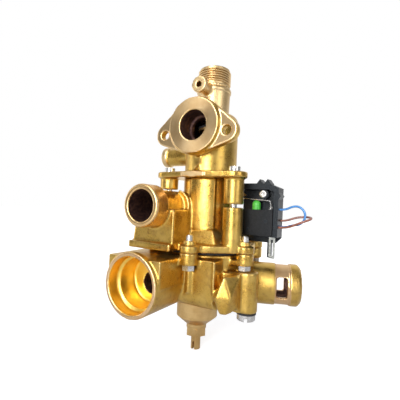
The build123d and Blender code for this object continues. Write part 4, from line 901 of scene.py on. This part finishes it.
blue_insulation = insulation("blue_insulation", (0.05, 0.20, 0.52), (0.09, 0.30, 0.66))
brown_insulation = insulation("brown_insulation", (0.20, 0.075, 0.05), (0.33, 0.12, 0.08))
wire("blue_lead", "blue_wire", blue_points, blue_insulation)
wire("brown_lead", "brown_wire", brown_points, brown_insulation)
print("wires: two, each", wire_thickness * 1000, "mm thick")

# %% [markdown]
# ## Riding with the bodies
# Each casting is parented to an empty for the body that it moves with, and the solid that it dresses is hidden.
# The castings and the thread belong to the housing, which stays still.

# %% Tie the castings to the housing
for piece, node in ((upper_casting, "upper_body"), (middle_casting, "middle_body"), (lower_casting, "lower_body")):
    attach(piece, "housing")
    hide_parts(node)
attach(pipe_thread, "housing")
print("castings tied to the housing")

# %% [markdown]
# ## Soft inner pieces
# The diaphragm's rim is clamped while its middle rises with the spindle, and the return spring is pressed together
# from below; the spindle lifts 4 mm. Here each is a merged copy of its solid with one finish, in one pose. The copy
# of the spring is tied to the housing, and both solids are hidden.

# %% Diaphragm and spring
def copy_of(name, solid_name, material):
    """A merged copy of a solid with one finish, smooth but for its sharp edges."""
    shape = bmesh.new()
    shape.from_mesh(solids[solid_name].data)
    bmesh.ops.remove_doubles(shape, verts=shape.verts, dist=mm(0.005))
    piece = new_piece(name, shape)
    piece.data.materials.clear()
    piece.data.materials.append(material)
    piece.data.shade_smooth()
    piece.data.set_sharp_from_angle(angle=radians(35))
    return piece


rubber_disc = copy_of("rubber_diaphragm", "diaphragm", black_rubber)
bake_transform(rubber_disc)
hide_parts("diaphragm")
coil = copy_of("coil_spring", "return_spring", spring_steel)
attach(coil, "housing")
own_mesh(coil)
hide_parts("return_spring")

# %% [markdown]
# ## The floor
# The valve was photographed against plain white. A bare white floor would burn out, and its shadow with it. So
# the floor is grey to the lamps and adds its own white for the camera: full white far out, and less of it under
# the valve, where the soft shadow falls. Reflections see that white only behind the valve.

# %% Floor
floor_level = solid_box[0][2] - mm(0.2)
floor = bpy.data.objects.new("floor", bpy.data.meshes.new("floor"))
scene.collection.objects.link(floor)
plate = bmesh.new()
bmesh.ops.create_grid(plate, x_segments=1, y_segments=1, size=3.0)
plate.to_mesh(floor.data)
plate.free()
floor.data.transform(Matrix.Translation((0, 0, floor_level)))
floor_white, tree, shader, position = start_material("floor_white", 0.0, 0.9)
shader.inputs["Base Color"].default_value = (0.50, 0.51, 0.54, 1)
path = tree.nodes.new("ShaderNodeLightPath").outputs
mirrored = arithmetic(tree, "MAXIMUM", path["Is Glossy Ray"], path["Is Transmission Ray"])
depth = add(tree, "VectorMath", {0: position, 1: (-0.50, 0.866, 0)}, operation="DOT_PRODUCT").outputs["Value"]
mirrored = arithmetic(tree, "MULTIPLY", mirrored, levels(tree, depth, 0.05, 0.5, 0.12, 1.0))
seen = arithmetic(tree, "MAXIMUM", path["Is Camera Ray"], mirrored)
from_middle = add(tree, "VectorMath", {0: position, 1: (0, 0.03, floor_level)}, operation="DISTANCE")
white = levels(tree, from_middle.outputs["Value"], 0.08, 0.45, 0.66, 1.0)
shader.inputs["Emission Color"].default_value = (1, 1, 1, 1)
tree.links.new(arithmetic(tree, "MULTIPLY", seen, white), shader.inputs["Emission Strength"])
floor.data.materials.append(floor_white)
print("floor at", round(floor_level, 4), "m")

# %% [markdown]
# ## The world
# The background is plain white to the camera. A world that is white on every side would leave brass pale and
# flat, because metal shows what it reflects. So other rays see a studio that is bright behind the valve, a little
# brighter overhead, and dim towards the camera.

# %% World
world = bpy.data.worlds.new("studio")
scene.world = world
world.use_nodes = True
tree = world.node_tree
tree.nodes.clear()
ray = tree.nodes.new("ShaderNodeTexCoord").outputs["Generated"]
behind = add(tree, "VectorMath", {0: ray, 1: -camera_back}, operation="DOT_PRODUCT").outputs["Value"]
height = add(tree, "SeparateXYZ", {0: ray}).outputs["Z"]
glow = levels(tree, behind, 0.05, 0.75, 0.19, 0.85)
glow = arithmetic(tree, "ADD", glow, levels(tree, height, 0.0, 1.0, 0.0, 0.25))
camera_ray = tree.nodes.new("ShaderNodeLightPath").outputs["Is Camera Ray"]
strength = add(tree, "Mix", {"Factor": camera_ray, 2: glow, 3: 1.0}, data_type="FLOAT").outputs[0]
background = add(tree, "Background", {"Color": (1, 1, 1, 1), "Strength": strength})
result = tree.nodes.new("ShaderNodeOutputWorld")
tree.links.new(background.outputs[0], result.inputs["Surface"])
print("world:", len(tree.nodes), "nodes")

# %% [markdown]
# ## Four soft boxes
# The bright streak down each round form comes from one large light a little to the left of the camera. A second
# one stands high, and two weak ones at the sides light the edges. Sun lamps would give hard, thin streaks, so all
# four are area lamps at less than a metre.

# %% Lamps
def soft_lamp(name, way, distance, width, height, power):
    """A soft box in a direction from the valve's middle, looking at it."""
    middle = Vector((0, 0.02, -0.05))
    lamp = bpy.data.lights.new(name, "AREA")
    lamp.shape = "RECTANGLE"
    lamp.size = width
    lamp.size_y = height
    lamp.energy = power
    piece = bpy.data.objects.new(name, lamp)
    scene.collection.objects.link(piece)
    direction = Vector(way).normalized()
    turn = direction.to_track_quat("Z", "Y").to_matrix().to_4x4()
    piece.matrix_world = Matrix.Translation(middle + direction * distance) @ turn


lamps = (
    # name, direction, distance, width and height in metres, power in watts
    ("key_lamp", (0.14, -0.98, 0.27), 0.75, 0.28, 0.55, 5.4),
    ("high_lamp", (-0.10, -0.60, 0.80), 0.75, 0.40, 0.40, 1.6),
    ("right_lamp", (0.92, -0.35, 0.25), 0.80, 0.35, 0.45, 1.2),
    ("left_lamp", (-0.93, -0.34, 0.12), 0.80, 0.22, 0.50, 0.8),
)
for row in lamps:
    soft_lamp(*row)
scene.view_settings.view_transform = "Standard"
print("soft boxes:", len(lamps))

# %% [markdown]
# ## Closing

# %% End
print("done")
